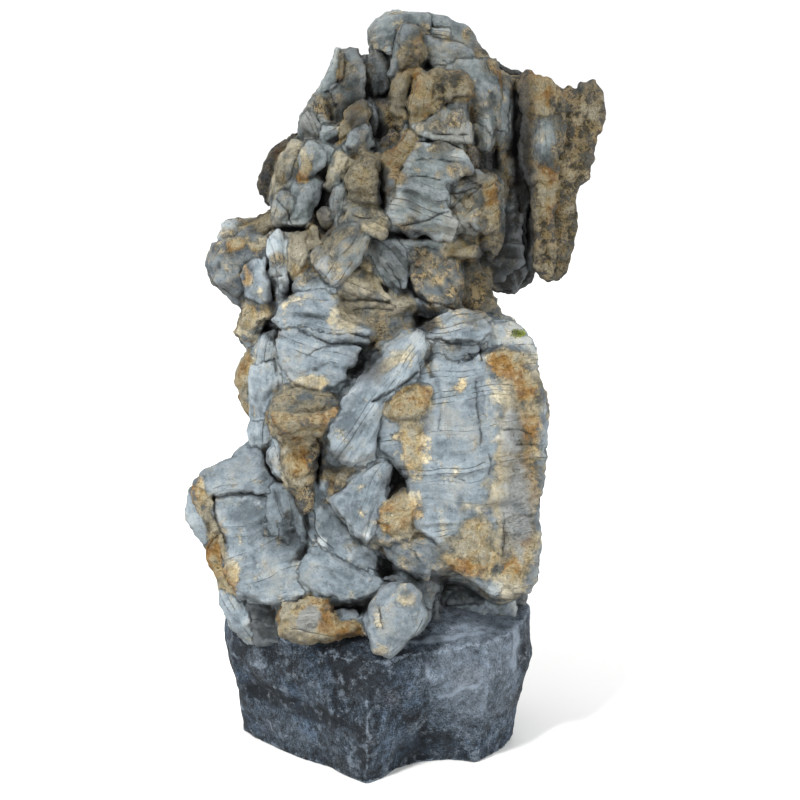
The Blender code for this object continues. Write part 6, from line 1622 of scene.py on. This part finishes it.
def add_beds_and_cracks(tree, place, value):
    """Add the beds, the crackle, the pits and the strength of the hollows' painted shade to the limestone's
    values.
    """
    # Beds 15 mm wide: every bed its own shade, and a thin open line between some of them.
    inside = add_node(tree, "ShaderNodeMath", {"Value": value["bed"]}, operation="FLOOR")
    bed_tone = add_node(tree, "ShaderNodeTexWhiteNoise", {"W": inside}, take="Value", noise_dimensions="1D")
    value["tone"] = add_node(tree, "ShaderNodeMath", {"Value": bed_tone, "Value_001": 0.1,
                                                      "Value_002": value["tone"]}, operation="MULTIPLY_ADD")
    nearest = add_node(tree, "ShaderNodeMath", {"Value": value["bed"]}, operation="ROUND")
    value["chance"] = add_node(tree, "ShaderNodeTexWhiteNoise", {"W": nearest}, take="Value",
                               noise_dimensions="1D")
    value["swing"] = add_node(tree, "ShaderNodeMath", {"Value": value["bed"], "Value_001": 0.5},
                              operation="PINGPONG")
    # Crackle of 14 mm plates, its lines bent by a finer noise and open only in places.
    swirl = add_node(tree, "ShaderNodeTexNoise", {"Vector": place, "Scale": 60.0, "Detail": 3.0},
                     take="Color")
    bent = add_node(tree, "ShaderNodeVectorMath", {"Vector": swirl, "Vector_001": (0.02, 0.02, 0.02),
                                                   "Vector_002": place}, operation="MULTIPLY_ADD")
    value["plates"] = add_node(tree, "ShaderNodeTexVoronoi", {"Vector": bent, "Scale": 70.0}, take="Distance",
                               feature="DISTANCE_TO_EDGE")
    # Parts of a value, drawn out to go from 0 to 1: name, of what, from what value to what value.
    for name, source, low, high in (
            ("bed_gap", "swing", 0.085, 0.02), ("chosen_bed", "chance", 0.55, 0.9),
            ("open_part", "blots", 0.42, 0.56), ("thin_line", "plates", 0.05, 0.0),
            ("cracked_part", "blots", 0.52, 0.66), ("low_crumb", "crumbs", 0.48, 0.36),
            ("crumbly_part", "crumbly", 0.2, 0.9)):
        value[name] = add_node(tree, "ShaderNodeMapRange", {"Value": value[source], "From Min": low,
                                                            "From Max": high})
    # Products. The pits lie between the crumbs of the stained rock, 5 to 10 mm across. The painted shade of
    # the narrow hollows grows towards the top.
    for name, product, *factors in (
            ("bed_lines", "bed_gap", "chosen_bed", "open_part"), ("crackle", "thin_line", "cracked_part"),
            ("pits", "low_crumb", "crumbly_part"), ("hollow", "hollow", "hollow_shade_strength"),
            ("coarse_height", "coarse_height", "crumbly_part")):
        product = value[product]
        for factor in factors:
            product = add_node(tree, "ShaderNodeMath", {"Value": product, "Value_001": value[factor]},
                               operation="MULTIPLY")
        value[name] = product


def limestone(colours):
    """Weathered limestone: matt blue-grey in fine leaning layers, stained by iron into granular ochre, with
    shade painted into its hollows, cracks and downward faces and a highlight painted on its edges.
    """
    material, tree, shader = start_material("weathered limestone, rain-worn and iron-stained")
    place = add_node(tree, "ShaderNodeTexCoord", take="Object")
    value = limestone_values(tree, place)
    add_beds_and_cracks(tree, place, value)
    grades = {}
    for name, by, stops in (
            ("slab", "tone", [(0.3, colours.slab_dark), (0.5, colours.slab), (0.68, colours.slab_light)]),
            ("tan", "granular", [(0.3, colours.tan_dark), (0.46, colours.tan), (0.62, colours.tan_light)]),
            ("brown", "gritty", [(0.43, colours.brown_dark), (0.5, colours.brown),
                                 (0.58, colours.brown_light)]),
            ("ochre", "granular", [(0.26, colours.rust), (0.39, colours.ochre), (0.5, colours.ochre_light),
                                   (0.62, colours.tan_light)]),
            ("white", "granular", [(0.3, colours.slab_light), (0.6, colours.chip)]),
            # The near-black and the dark grey of the painted shade.
            ("dark", "mottle", [(0.4, colours.shadow), (0.68, colours.recess)])):
        grades[name] = add_node(tree, "ShaderNodeValToRGB", {"Fac": value[by]}, stops=stops)
    shade = grades["slab"]
    # Layers of colour, first to last: where, from what value to what value, how much, colour, how it goes on.
    for name, low, high, amount, top, blend in (
            ("grime", 0.82, 1.05, 0.55, colours.grime, "MIX"),
            ("tan_reach", 0.15, 0.6, 0.4, colours.halo, "MIX"),
            ("tan_reach", 0.35, 0.9, 0.95, grades["tan"], "MIX"),
            ("brown_reach", 0.15, 0.6, 0.4, colours.halo, "MIX"),
            ("brown_reach", 0.35, 0.95, 0.95, grades["brown"], "MIX"),
            ("ochre_reach", 0.15, 0.6, 0.4, colours.halo, "MIX"),
            ("ochre_reach", 0.35, 0.85, 1.0, grades["ochre"], "MIX"),
            ("pits", 0.0, 1.0, 0.3, colours.brown_dark, "MULTIPLY"),
            ("white_reach", 0.3, 0.8, 0.9, grades["white"], "MIX"),
            # Painted shade over the forms and hollows that lie in shade.
            ("dark_shade_reach", 0.15, 0.85, 0.9, grades["dark"], "MIX"),
            # The upper rock made darker towards the top.
            ("upper_darkening", 0.0, 1.0, 1.0, colours.upper_darkening, "MULTIPLY"),
            # Painted shade in the broad hollows, brown-grey.
            ("broad_hollow_shade_reach", 0.05, 0.8, 0.85, colours.dirt, "MULTIPLY"),
            # Painted shade in the narrow hollows and seams.
            ("hollow", 0.1, 0.75, 1.0, colours.hollow, "MULTIPLY"),
            # Painted shade on the faces that turn downwards.
            ("underside", 0.0, 0.8, 0.6, colours.dirt, "MULTIPLY"),
            # Painted highlight screened over the proud edges.
            ("edge_highlight_reach", 0.1, 0.9, 0.6, colours.worn, "SCREEN"),
            ("bed_lines", 0.0, 1.0, 0.6, colours.recess, "MULTIPLY"),
            ("crackle", 0.0, 1.0, 0.25, colours.recess, "MULTIPLY"),
            # Painted shade in the thin cracks.
            ("crack", 0.0, 1.0, 0.75, colours.shadow, "MIX"),
            ("fleck", 0.63, 0.72, 0.5, colours.shadow, "MIX")):
        share = add_node(tree, "ShaderNodeMapRange", {"Value": value[name], "From Min": low, "From Max": high,
                                                      "To Max": amount}, interpolation_type="SMOOTHSTEP")
        shade = add_node(tree, "ShaderNodeMix", {"Factor_Float": share, "A_Color": shade, "B_Color": top},
                         data_type="RGBA", blend_type=blend)
    tree.links.new(shade, shader.inputs["Base Color"])
    tree.links.new(value["roughness"], shader.inputs["Roughness"])
    fine = 0.0
    for name, weight in (("layers", 0.2), ("mottle", 0.9), ("crumbs", 0.35), ("grit", 0.1), ("folds", 0.9),
                         ("wrinkles", 0.25), ("bed_lines", -0.4), ("crackle", -0.2)):
        fine = add_node(tree, "ShaderNodeMath", {"Value": value[name], "Value_001": weight,
                                                 "Value_002": fine}, operation="MULTIPLY_ADD")
    relief = add_node(tree, "ShaderNodeBump", {"Height": value["coarse_height"], "Distance": 0.012})
    relief = add_node(tree, "ShaderNodeBump", {"Height": fine, "Distance": 0.016, "Normal": relief})
    shader.inputs["Specular IOR Level"].default_value = 0.25
    tree.links.new(relief, shader.inputs["Normal"])
    return material


def dark_stone(colours):
    """Dark stone, hewn and left rough: charcoal, with fine light grains and pale dust; a highlight is painted
    on its edges and shade in its hollows, and the bloom and soot are partly painted light and shade on its
    facets.
    """
    material, tree, shader = start_material("dark stone, hewn and left rough")
    place = add_node(tree, "ShaderNodeTexCoord", take="Object")
    value = {}
    # Noises: name, size in metres, detail, roughness.
    for name, size, detail, rough in (("clouds", 0.11, 4.0, 0.6), ("mottle", 0.02, 6.0, 0.68),
                                      ("grit", 0.0045, 4.0, 0.75), ("dust", 0.035, 5.0, 0.75)):
        value[name] = add_node(tree, "ShaderNodeTexNoise", {"Vector": place, "Scale": 1 / size,
                                                            "Detail": detail, "Roughness": rough})
    for name in ("bloom_and_painted_light", "plum", "soot_and_painted_shade", "edge", "hollow"):
        value[name] = add_node(tree, "ShaderNodeAttribute", take="Fac", attribute_name=name)
    for name, start, *terms in (
            ("tone", -0.8, ("clouds", 0.9), ("mottle", 0.75), ("grit", 0.95)),
            ("break_up", -0.9, ("mottle", 0.8), ("grit", 1.0)),
            ("plum_reach", 0.0, ("plum", 1.0), ("break_up", 0.7)),
            # Bloom: partly pale bloom, partly painted light.
            ("bloom_and_painted_light_reach", 0.0, ("bloom_and_painted_light", 1.0), ("break_up", 1.1)),
            # Soot: partly dark stain, partly painted shade.
            ("soot_and_painted_shade_reach", 0.0, ("soot_and_painted_shade", 1.0), ("break_up", 0.7)),
            # Where the painted highlight of the proud edges reaches.
            ("edge_highlight_reach", 0.0, ("edge", 0.7), ("break_up", 1.3)),
            ("height", 0.0, ("mottle", 1.0), ("grit", 0.9), ("clouds", 0.6))):
        for term, weight in terms:
            start = add_node(tree, "ShaderNodeMath", {"Value": value[term], "Value_001": weight,
                                                      "Value_002": start}, operation="MULTIPLY_ADD")
        value[name] = start
    # Pale mineral grains about 3 mm across, where the dust lies.
    grains = add_node(tree, "ShaderNodeTexVoronoi", {"Vector": place, "Scale": 330.0}, take="Distance")
    bright = add_node(tree, "ShaderNodeMapRange", {"Value": grains, "From Min": 0.28, "From Max": 0.12})
    dusty = add_node(tree, "ShaderNodeMapRange", {"Value": value["dust"], "From Min": 0.5, "From Max": 0.64})
    value["grains"] = add_node(tree, "ShaderNodeMath", {"Value": bright, "Value_001": dusty},
                               operation="MULTIPLY")
    shade = add_node(tree, "ShaderNodeValToRGB", {"Fac": value["tone"]},
                     stops=[(0.34, colours.stand_dark), (0.54, colours.stand), (0.74, colours.stand_light)])
    for name, low, high, amount, top in (
            # Plum tint; bloom, partly painted light on the lit facets.
            ("plum_reach", 0.2, 0.8, 0.7, colours.plum), ("bloom_and_painted_light_reach", 0.0, 1.05, 0.85, colours.bloom_and_painted_light),
            # Soot, partly painted shade on the facets in shade; painted highlight on the proud edges.
            ("soot_and_painted_shade_reach", 0.2, 0.8, 0.8, colours.stand_dark), ("edge_highlight_reach", 0.3, 0.9, 0.65, colours.bloom_and_painted_light),
            # Painted shade in the hollows; pale dust.
            ("hollow", 0.0, 1.0, 0.6, colours.stand_dark), ("dust", 0.52, 0.7, 0.4, colours.bloom_and_painted_light),
            ("grains", 0.0, 1.0, 0.8, colours.grain)):
        share = add_node(tree, "ShaderNodeMapRange", {"Value": value[name], "From Min": low, "From Max": high,
                                                      "To Max": amount}, interpolation_type="SMOOTHSTEP")
        shade = add_node(tree, "ShaderNodeMix", {"Factor_Float": share, "A_Color": shade, "B_Color": top},
                         data_type="RGBA")
    tree.links.new(shade, shader.inputs["Base Color"])
    shader.inputs["Roughness"].default_value = 0.8
    shader.inputs["Specular IOR Level"].default_value = 0.25
    relief = add_node(tree, "ShaderNodeBump", {"Height": value["height"], "Distance": 0.008})
    tree.links.new(relief, shader.inputs["Normal"])
    return material


def moss_tree(material):
    """A tree that sows short pointed leaves over a surface, each leaning out from it."""
    tree = bpy.data.node_groups.new("moss cushion", "GeometryNodeTree")
    tree.interface.new_socket("Bed", in_out="INPUT", socket_type="NodeSocketGeometry")
    tree.interface.new_socket("Leaves per Square Metre", in_out="INPUT", socket_type="NodeSocketFloat")
    tree.interface.new_socket("Leaf Length", in_out="INPUT", socket_type="NodeSocketFloat")
    tree.interface.new_socket("Moss", in_out="OUTPUT", socket_type="NodeSocketGeometry")
    start = tree.nodes.new("NodeGroupInput").outputs
    end = tree.nodes.new("NodeGroupOutput")
    sown = add_node(tree, "GeometryNodeDistributePointsOnFaces",
                    {"Mesh": start["Bed"], "Density": start["Leaves per Square Metre"], "Seed": 3})
    width = add_node(tree, "ShaderNodeMath", {"Value": start["Leaf Length"], "Value_001": 0.24},
                     operation="MULTIPLY")
    leaf = add_node(tree, "GeometryNodeMeshCone", {"Vertices": 4, "Radius Top": 0.0, "Radius Bottom": width,
                                                   "Depth": start["Leaf Length"]}, fill_type="TRIANGLE_FAN")
    tilt = add_node(tree, "FunctionNodeRandomValue",
                    {"Min": (-0.7, -0.7, 0.0), "Max": (0.7, 0.7, 6.28), "Seed": 5},
                    take="Value", data_type="FLOAT_VECTOR")
    turned = add_node(tree, "FunctionNodeRotateRotation",
                      {"Rotation": sown.node.outputs["Rotation"], "Rotate By": tilt}, rotation_space="LOCAL")
    size = add_node(tree, "FunctionNodeRandomValue", {"Min_001": 0.5, "Max_001": 1.2, "Seed": 8},
                    take="Value_001", data_type="FLOAT")
    grown = add_node(tree, "GeometryNodeInstanceOnPoints",
                     {"Points": sown, "Instance": leaf, "Rotation": turned, "Scale": size})
    real = add_node(tree, "GeometryNodeRealizeInstances", {"Geometry": grown})
    dressed = add_node(tree, "GeometryNodeSetMaterial", {"Geometry": real, "Material": material})
    tree.links.new(dressed, end.inputs["Moss"])
    return tree


def moss_finish(colours):
    """Cushion moss, alive: soft and matt, yellow-green tips over darker green."""
    material, tree, shader = start_material("cushion moss, growing")
    place = add_node(tree, "ShaderNodeTexCoord", take="Object")
    # Tufts about 1 cm across.
    tufts = add_node(tree, "ShaderNodeTexNoise", {"Vector": place, "Scale": 100.0, "Detail": 3.0})
    shade = add_node(tree, "ShaderNodeValToRGB", {"Fac": tufts},
                     stops=[(0.35, colours.moss_dark), (0.65, colours.moss)])
    tree.links.new(shade, shader.inputs["Base Color"])
    shader.inputs["Roughness"].default_value = 0.95
    return material


def show(name, mesh, material):
    """Put a finished mesh in the scene, in its place, with one material and a smooth skin."""
    mesh.name = name
    mesh.materials.clear()
    mesh.materials.append(material)
    mesh.shade_smooth()
    mesh.set_sharp_from_angle(angle=math.radians(SHARP_ANGLE))
    return linked(name, mesh)


def shade_field(name, code, what):
    """A colour property with its default given as an sRGB code."""
    return bpy.props.FloatVectorProperty(name=name, description=what, subtype="COLOR", size=4, min=0, max=1,
                                         default=linear(code))


class ScholarsSizes(bpy.types.PropertyGroup):
    """The sizes of the stone, its stand and its moss."""

    grid_step: bpy.props.FloatProperty(
        name="Skin Detail", description="Spacing of the grid that the stone's skin is drawn from",
        default=0.0042, min=0.003, unit="LENGTH")
    triangles: bpy.props.IntProperty(
        name="Stone Triangles", description="Triangles that the stone's skin is thinned to",
        default=194000)
    seam_blend: bpy.props.FloatProperty(
        name="Seam Blend", description="How far neighbouring forms run into each other",
        default=0.006, unit="LENGTH")
    gap_depth: bpy.props.FloatProperty(
        name="Gap Depth", description="How deep the narrow gaps between the forms are",
        default=0.009, unit="LENGTH")
    edge_waviness: bpy.props.FloatProperty(
        name="Edge Waviness", description="How far the edges of the forms wander",
        default=0.005, unit="LENGTH")
    face_swell: bpy.props.FloatProperty(
        name="Face Swell", description="How far the middle of each face stands out",
        default=0.002, unit="LENGTH")
    weather_depth: bpy.props.FloatProperty(
        name="Weather Depth", description="How deep the weather has worn the skin",
        default=0.0045, unit="LENGTH")
    crack_depth_scale: bpy.props.FloatProperty(
        name="Crack Depth", description="Depth of the cracks and grooves",
        default=1.0, subtype="FACTOR")
    crumb_scale: bpy.props.FloatProperty(
        name="Crumb Relief", description="Height of the crumbs on the stained rock",
        default=1.0, subtype="FACTOR")
    facet_grid: bpy.props.FloatProperty(
        name="Stand Detail", description="Spacing of the stand's skin",
        default=0.006, unit="LENGTH")
    hewn_scale: bpy.props.FloatProperty(
        name="Hewn Relief", description="Height of the tool-worn facets of the stand",
        default=1.0, subtype="FACTOR")
    moss_density: bpy.props.FloatProperty(
        name="Moss Density", description="Leaves on each square metre of the bed",
        default=260000)
    moss_length: bpy.props.FloatProperty(
        name="Moss Leaf", description="Length of a moss leaf",
        default=0.006, unit="LENGTH")


class ScholarsColours(bpy.types.PropertyGroup):
    """The colours of the limestone, its stains, the stand, the moss and the floor."""

    slab: shade_field("Slab", "#88949B", "Main blue-grey of the limestone")
    slab_light: shade_field("Slab Light", "#B4BEC2", "Palest blue-grey")
    slab_dark: shade_field("Slab Dark", "#5C666C", "Deepest blue-grey")
    ochre: shade_field("Ochre", "#D9A65C", "Main ochre of the iron stain")
    ochre_light: shade_field("Ochre Light", "#F0D9A4", "Palest ochre")
    rust: shade_field("Rust", "#B47F3E", "Darkest, reddest part of the iron stain")
    tan: shade_field("Tan", "#D3C6A4", "Tan of the worn rock")
    tan_light: shade_field("Tan Light", "#EBE1C4", "Palest tan")
    tan_dark: shade_field("Tan Dark", "#A0947B", "Darkest tan")
    brown: shade_field("Brown", "#8C7650", "Olive brown of the granular rock")
    brown_light: shade_field("Brown Light", "#E2C78F", "Lighter grains of the brown rock")
    brown_dark: shade_field("Brown Dark", "#352D21", "Darker grains of the brown rock")
    chip: shade_field("Chip", "#D6D8D4", "White of freshly chipped stone")
    grime: shade_field("Grime", "#7C786D", "Warm grey dirt of the sheltered places")
    halo: shade_field("Halo", "#A0977D", "Faint olive fringe round every stain")
    # Multiplied over the upper rock, which it makes darker towards the top.
    upper_darkening: shade_field("Upper Darkening", "#D4D1C8", "Film of old dirt over the upper rock")
    # Brown-grey painted shade, laid into the broad hollows and on the faces that turn downwards.
    dirt: shade_field("Sheltered Shade", "#7A7164", "Brown-grey dirt of sheltered places and undersides")
    # Painted shade laid into the narrow hollows and seams.
    hollow: shade_field("Hollow", "#2C2F30", "Darkening of the narrow hollows and seams")
    # Painted highlight screened over the proud edges.
    worn: shade_field("Edge Highlight", "#62666A", "Light that the worn edges gain over their own colour")
    # Dark grey of the painted shade in the hollows, and of the thin lines between beds and in the crackle.
    recess: shade_field("Recess", "#373B3C", "Dark grey of the hollows")
    shadow: shade_field("Shadow", "#181B1E", "Near-black of the deepest hollows")
    stand: shade_field("Stand", "#212B35", "Main charcoal of the stand")
    stand_light: shade_field("Stand Light", "#43556A", "Lighter charcoal")
    # Also laid on as painted shade: with the soot and in the hollows.
    stand_dark: shade_field("Stand Dark", "#0C1015", "Darkest charcoal")
    # Pale bloom and dust, also laid on as painted light on the lit facets and as a painted highlight on the
    # proud edges.
    bloom_and_painted_light: shade_field("Bloom and Painted Light", "#8B97A4", "Pale dust of the stand's worn edges")
    plum: shade_field("Plum", "#5A5557", "Purple-brown tint of the stand")
    grain: shade_field("Grain", "#C9CED2", "Pale mineral grains of the stand")
    moss: shade_field("Moss", "#8B9443", "Yellow-green of the moss tips")
    moss_dark: shade_field("Moss Dark", "#4A5428", "Green at the foot of the moss")
    floor: shade_field("Floor", "#E6E6E4", "Pale floor")


class SCHOLARS_OT_stand(bpy.types.Operator):
    """Hew the dark stone stand"""

    bl_idname = "scholars.stand"
    bl_label = "Hewn Stand"

    def execute(self, context):
        sizes, colours = context.scene.scholars_sizes, context.scene.scholars_colours
        stand = show("hewn_stand", make_stand_mesh(sizes), dark_stone(colours))
        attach(stand, "root")
        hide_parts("stand")
        return {"FINISHED"}


class SCHOLARS_OT_stone(bpy.types.Operator):
    """Form the weathered limestone on its stand"""

    bl_idname = "scholars.stone"
    bl_label = "Weathered Stone"

    def execute(self, context):
        sizes, colours = context.scene.scholars_sizes, context.scene.scholars_colours
        mesh = make_stone_mesh(sizes, bpy.data.objects["hewn_stand"])
        stone = show("weathered_stone", mesh, limestone(colours))
        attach(stone, "root")
        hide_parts("rock")
        return {"FINISHED"}


class SCHOLARS_OT_moss(bpy.types.Operator):
    """Grow a tuft of moss on the stone's right shoulder"""

    bl_idname = "scholars.moss"
    bl_label = "Moss Tuft"

    def execute(self, context):
        sizes, colours = context.scene.scholars_sizes, context.scene.scholars_colours
        stone = bpy.data.objects["weathered_stone"].data
        points = drawn(point_values(stone.vertices, "co"))
        near = spread_from(points, *MOSS_OVAL) < 1
        near &= point_values(stone.vertex_normals, "vector")[:, 1] < 0.3
        bed = bmesh.new()
        bed.from_mesh(stone)
        bed.verts.ensure_lookup_table()
        bare = [vert for vert, kept in zip(bed.verts, near) if not kept]
        bmesh.ops.delete(bed, geom=bare, context="VERTS")
        if not bed.faces:
            raise RuntimeError("the shoulder has no faces for the moss to grow on")
        mesh = bpy.data.meshes.new("moss_bed")
        bed.to_mesh(mesh)
        bed.free()
        holder = linked("moss_bed", mesh)
        material = moss_finish(colours)
        grow = holder.modifiers.new("grow", "NODES")
        grow.node_group = moss_tree(material)
        named = {item.name: item.identifier for item in grow.node_group.interface.items_tree}
        grow[named["Leaves per Square Metre"]] = sizes.moss_density
        grow[named["Leaf Length"]] = sizes.moss_length
        moss = show("moss_tuft", baked(holder), material)
        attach(moss, "root")
        return {"FINISHED"}


class SCHOLARS_OT_studio(bpy.types.Operator):
    """Set the pale floor, the soft lights and the camera"""

    bl_idname = "scholars.studio"
    bl_label = "Plain Studio"

    def execute(self, context):
        scene = context.scene
        ground = bmesh.new()
        bmesh.ops.create_grid(ground, x_segments=1, y_segments=1, size=FLOOR_REACH)
        mesh = bpy.data.meshes.new("floor")
        ground.to_mesh(mesh)
        ground.free()
        material, tree, shader = start_material("pale floor, painted matt")
        shader.inputs["Base Color"].default_value = scene.scholars_colours.floor
        shader.inputs["Roughness"].default_value = 0.9
        floor = show("floor", mesh, material)
        world = bpy.data.worlds.new("soft sky")
        world.use_nodes = True
        world.node_tree.nodes["Background"].inputs["Color"].default_value = SKY_COLOUR
        world.node_tree.nodes["Background"].inputs["Strength"].default_value = SKY_STRENGTH
        scene.world = world
        # Lights: name, kind, place, width in radians for the sun and metres for the panels, power.
        for name, kind, place, width, power in (("key", "SUN", (-2.0, -3.2, 5.6), 0.14, 3.35),
                                                ("right_fill", "AREA", (3.8, -3.4, 1.4), 2.0, 85),
                                                ("back_fill", "AREA", (0.5, 4.5, 3.2), 3.0, 90)):
            lamp = bpy.data.lights.new(name, kind)
            if kind == "SUN":
                lamp.angle = width
            else:
                lamp.size = width
            lamp.energy = power
            light = linked(name, lamp)
            light.location = place
            light.rotation_euler = (Vector(LIT_POINT) - light.location).to_track_quat("-Z", "Y").to_euler()
        camera = linked("camera", bpy.data.cameras.new("camera"))
        camera.data.lens = VIEW_LENS
        camera.data.sensor_width = VIEW_SENSOR
        camera.location = Vector(SIGHT_POINT) * CM
        camera.rotation_euler = (math.radians(90 - VIEW_PITCH), 0, 0)
        scene.camera = camera
        scene.view_settings.view_transform = "Standard"
        return {"FINISHED"}


class SCHOLARS_PT_panel(bpy.types.Panel):
    """Sizes, colours and steps of the scholars rock"""

    bl_label = "Scholars Rock"
    bl_idname = "SCHOLARS_PT_panel"
    bl_space_type = "VIEW_3D"
    bl_region_type = "UI"
    bl_category = "Scholars Rock"

    def draw(self, context):
        for step in STEPS:
            self.layout.operator(step.bl_idname)
        for group in (context.scene.scholars_sizes, context.scene.scholars_colours):
            box = self.layout.box()
            for name in group.__annotations__:
                box.prop(group, name)


STEPS = (SCHOLARS_OT_stand, SCHOLARS_OT_stone, SCHOLARS_OT_moss, SCHOLARS_OT_studio)
CLASSES = (ScholarsSizes, ScholarsColours, *STEPS, SCHOLARS_PT_panel)


def register():
    """Add the classes, and the sizes and colours of the scene."""
    for item in CLASSES:
        bpy.utils.register_class(item)
    bpy.types.Scene.scholars_sizes = bpy.props.PointerProperty(type=ScholarsSizes)
    bpy.types.Scene.scholars_colours = bpy.props.PointerProperty(type=ScholarsColours)


def unregister():
    """Take the sizes, the colours and the classes away again."""
    del bpy.types.Scene.scholars_colours
    del bpy.types.Scene.scholars_sizes
    for item in reversed(CLASSES):
        bpy.utils.unregister_class(item)


def main():
    """Build every piece and the studio."""
    register()
    bpy.ops.scholars.stand()
    bpy.ops.scholars.stone()
    bpy.ops.scholars.moss()
    bpy.ops.scholars.studio()


if __name__ == "__main__":
    main()
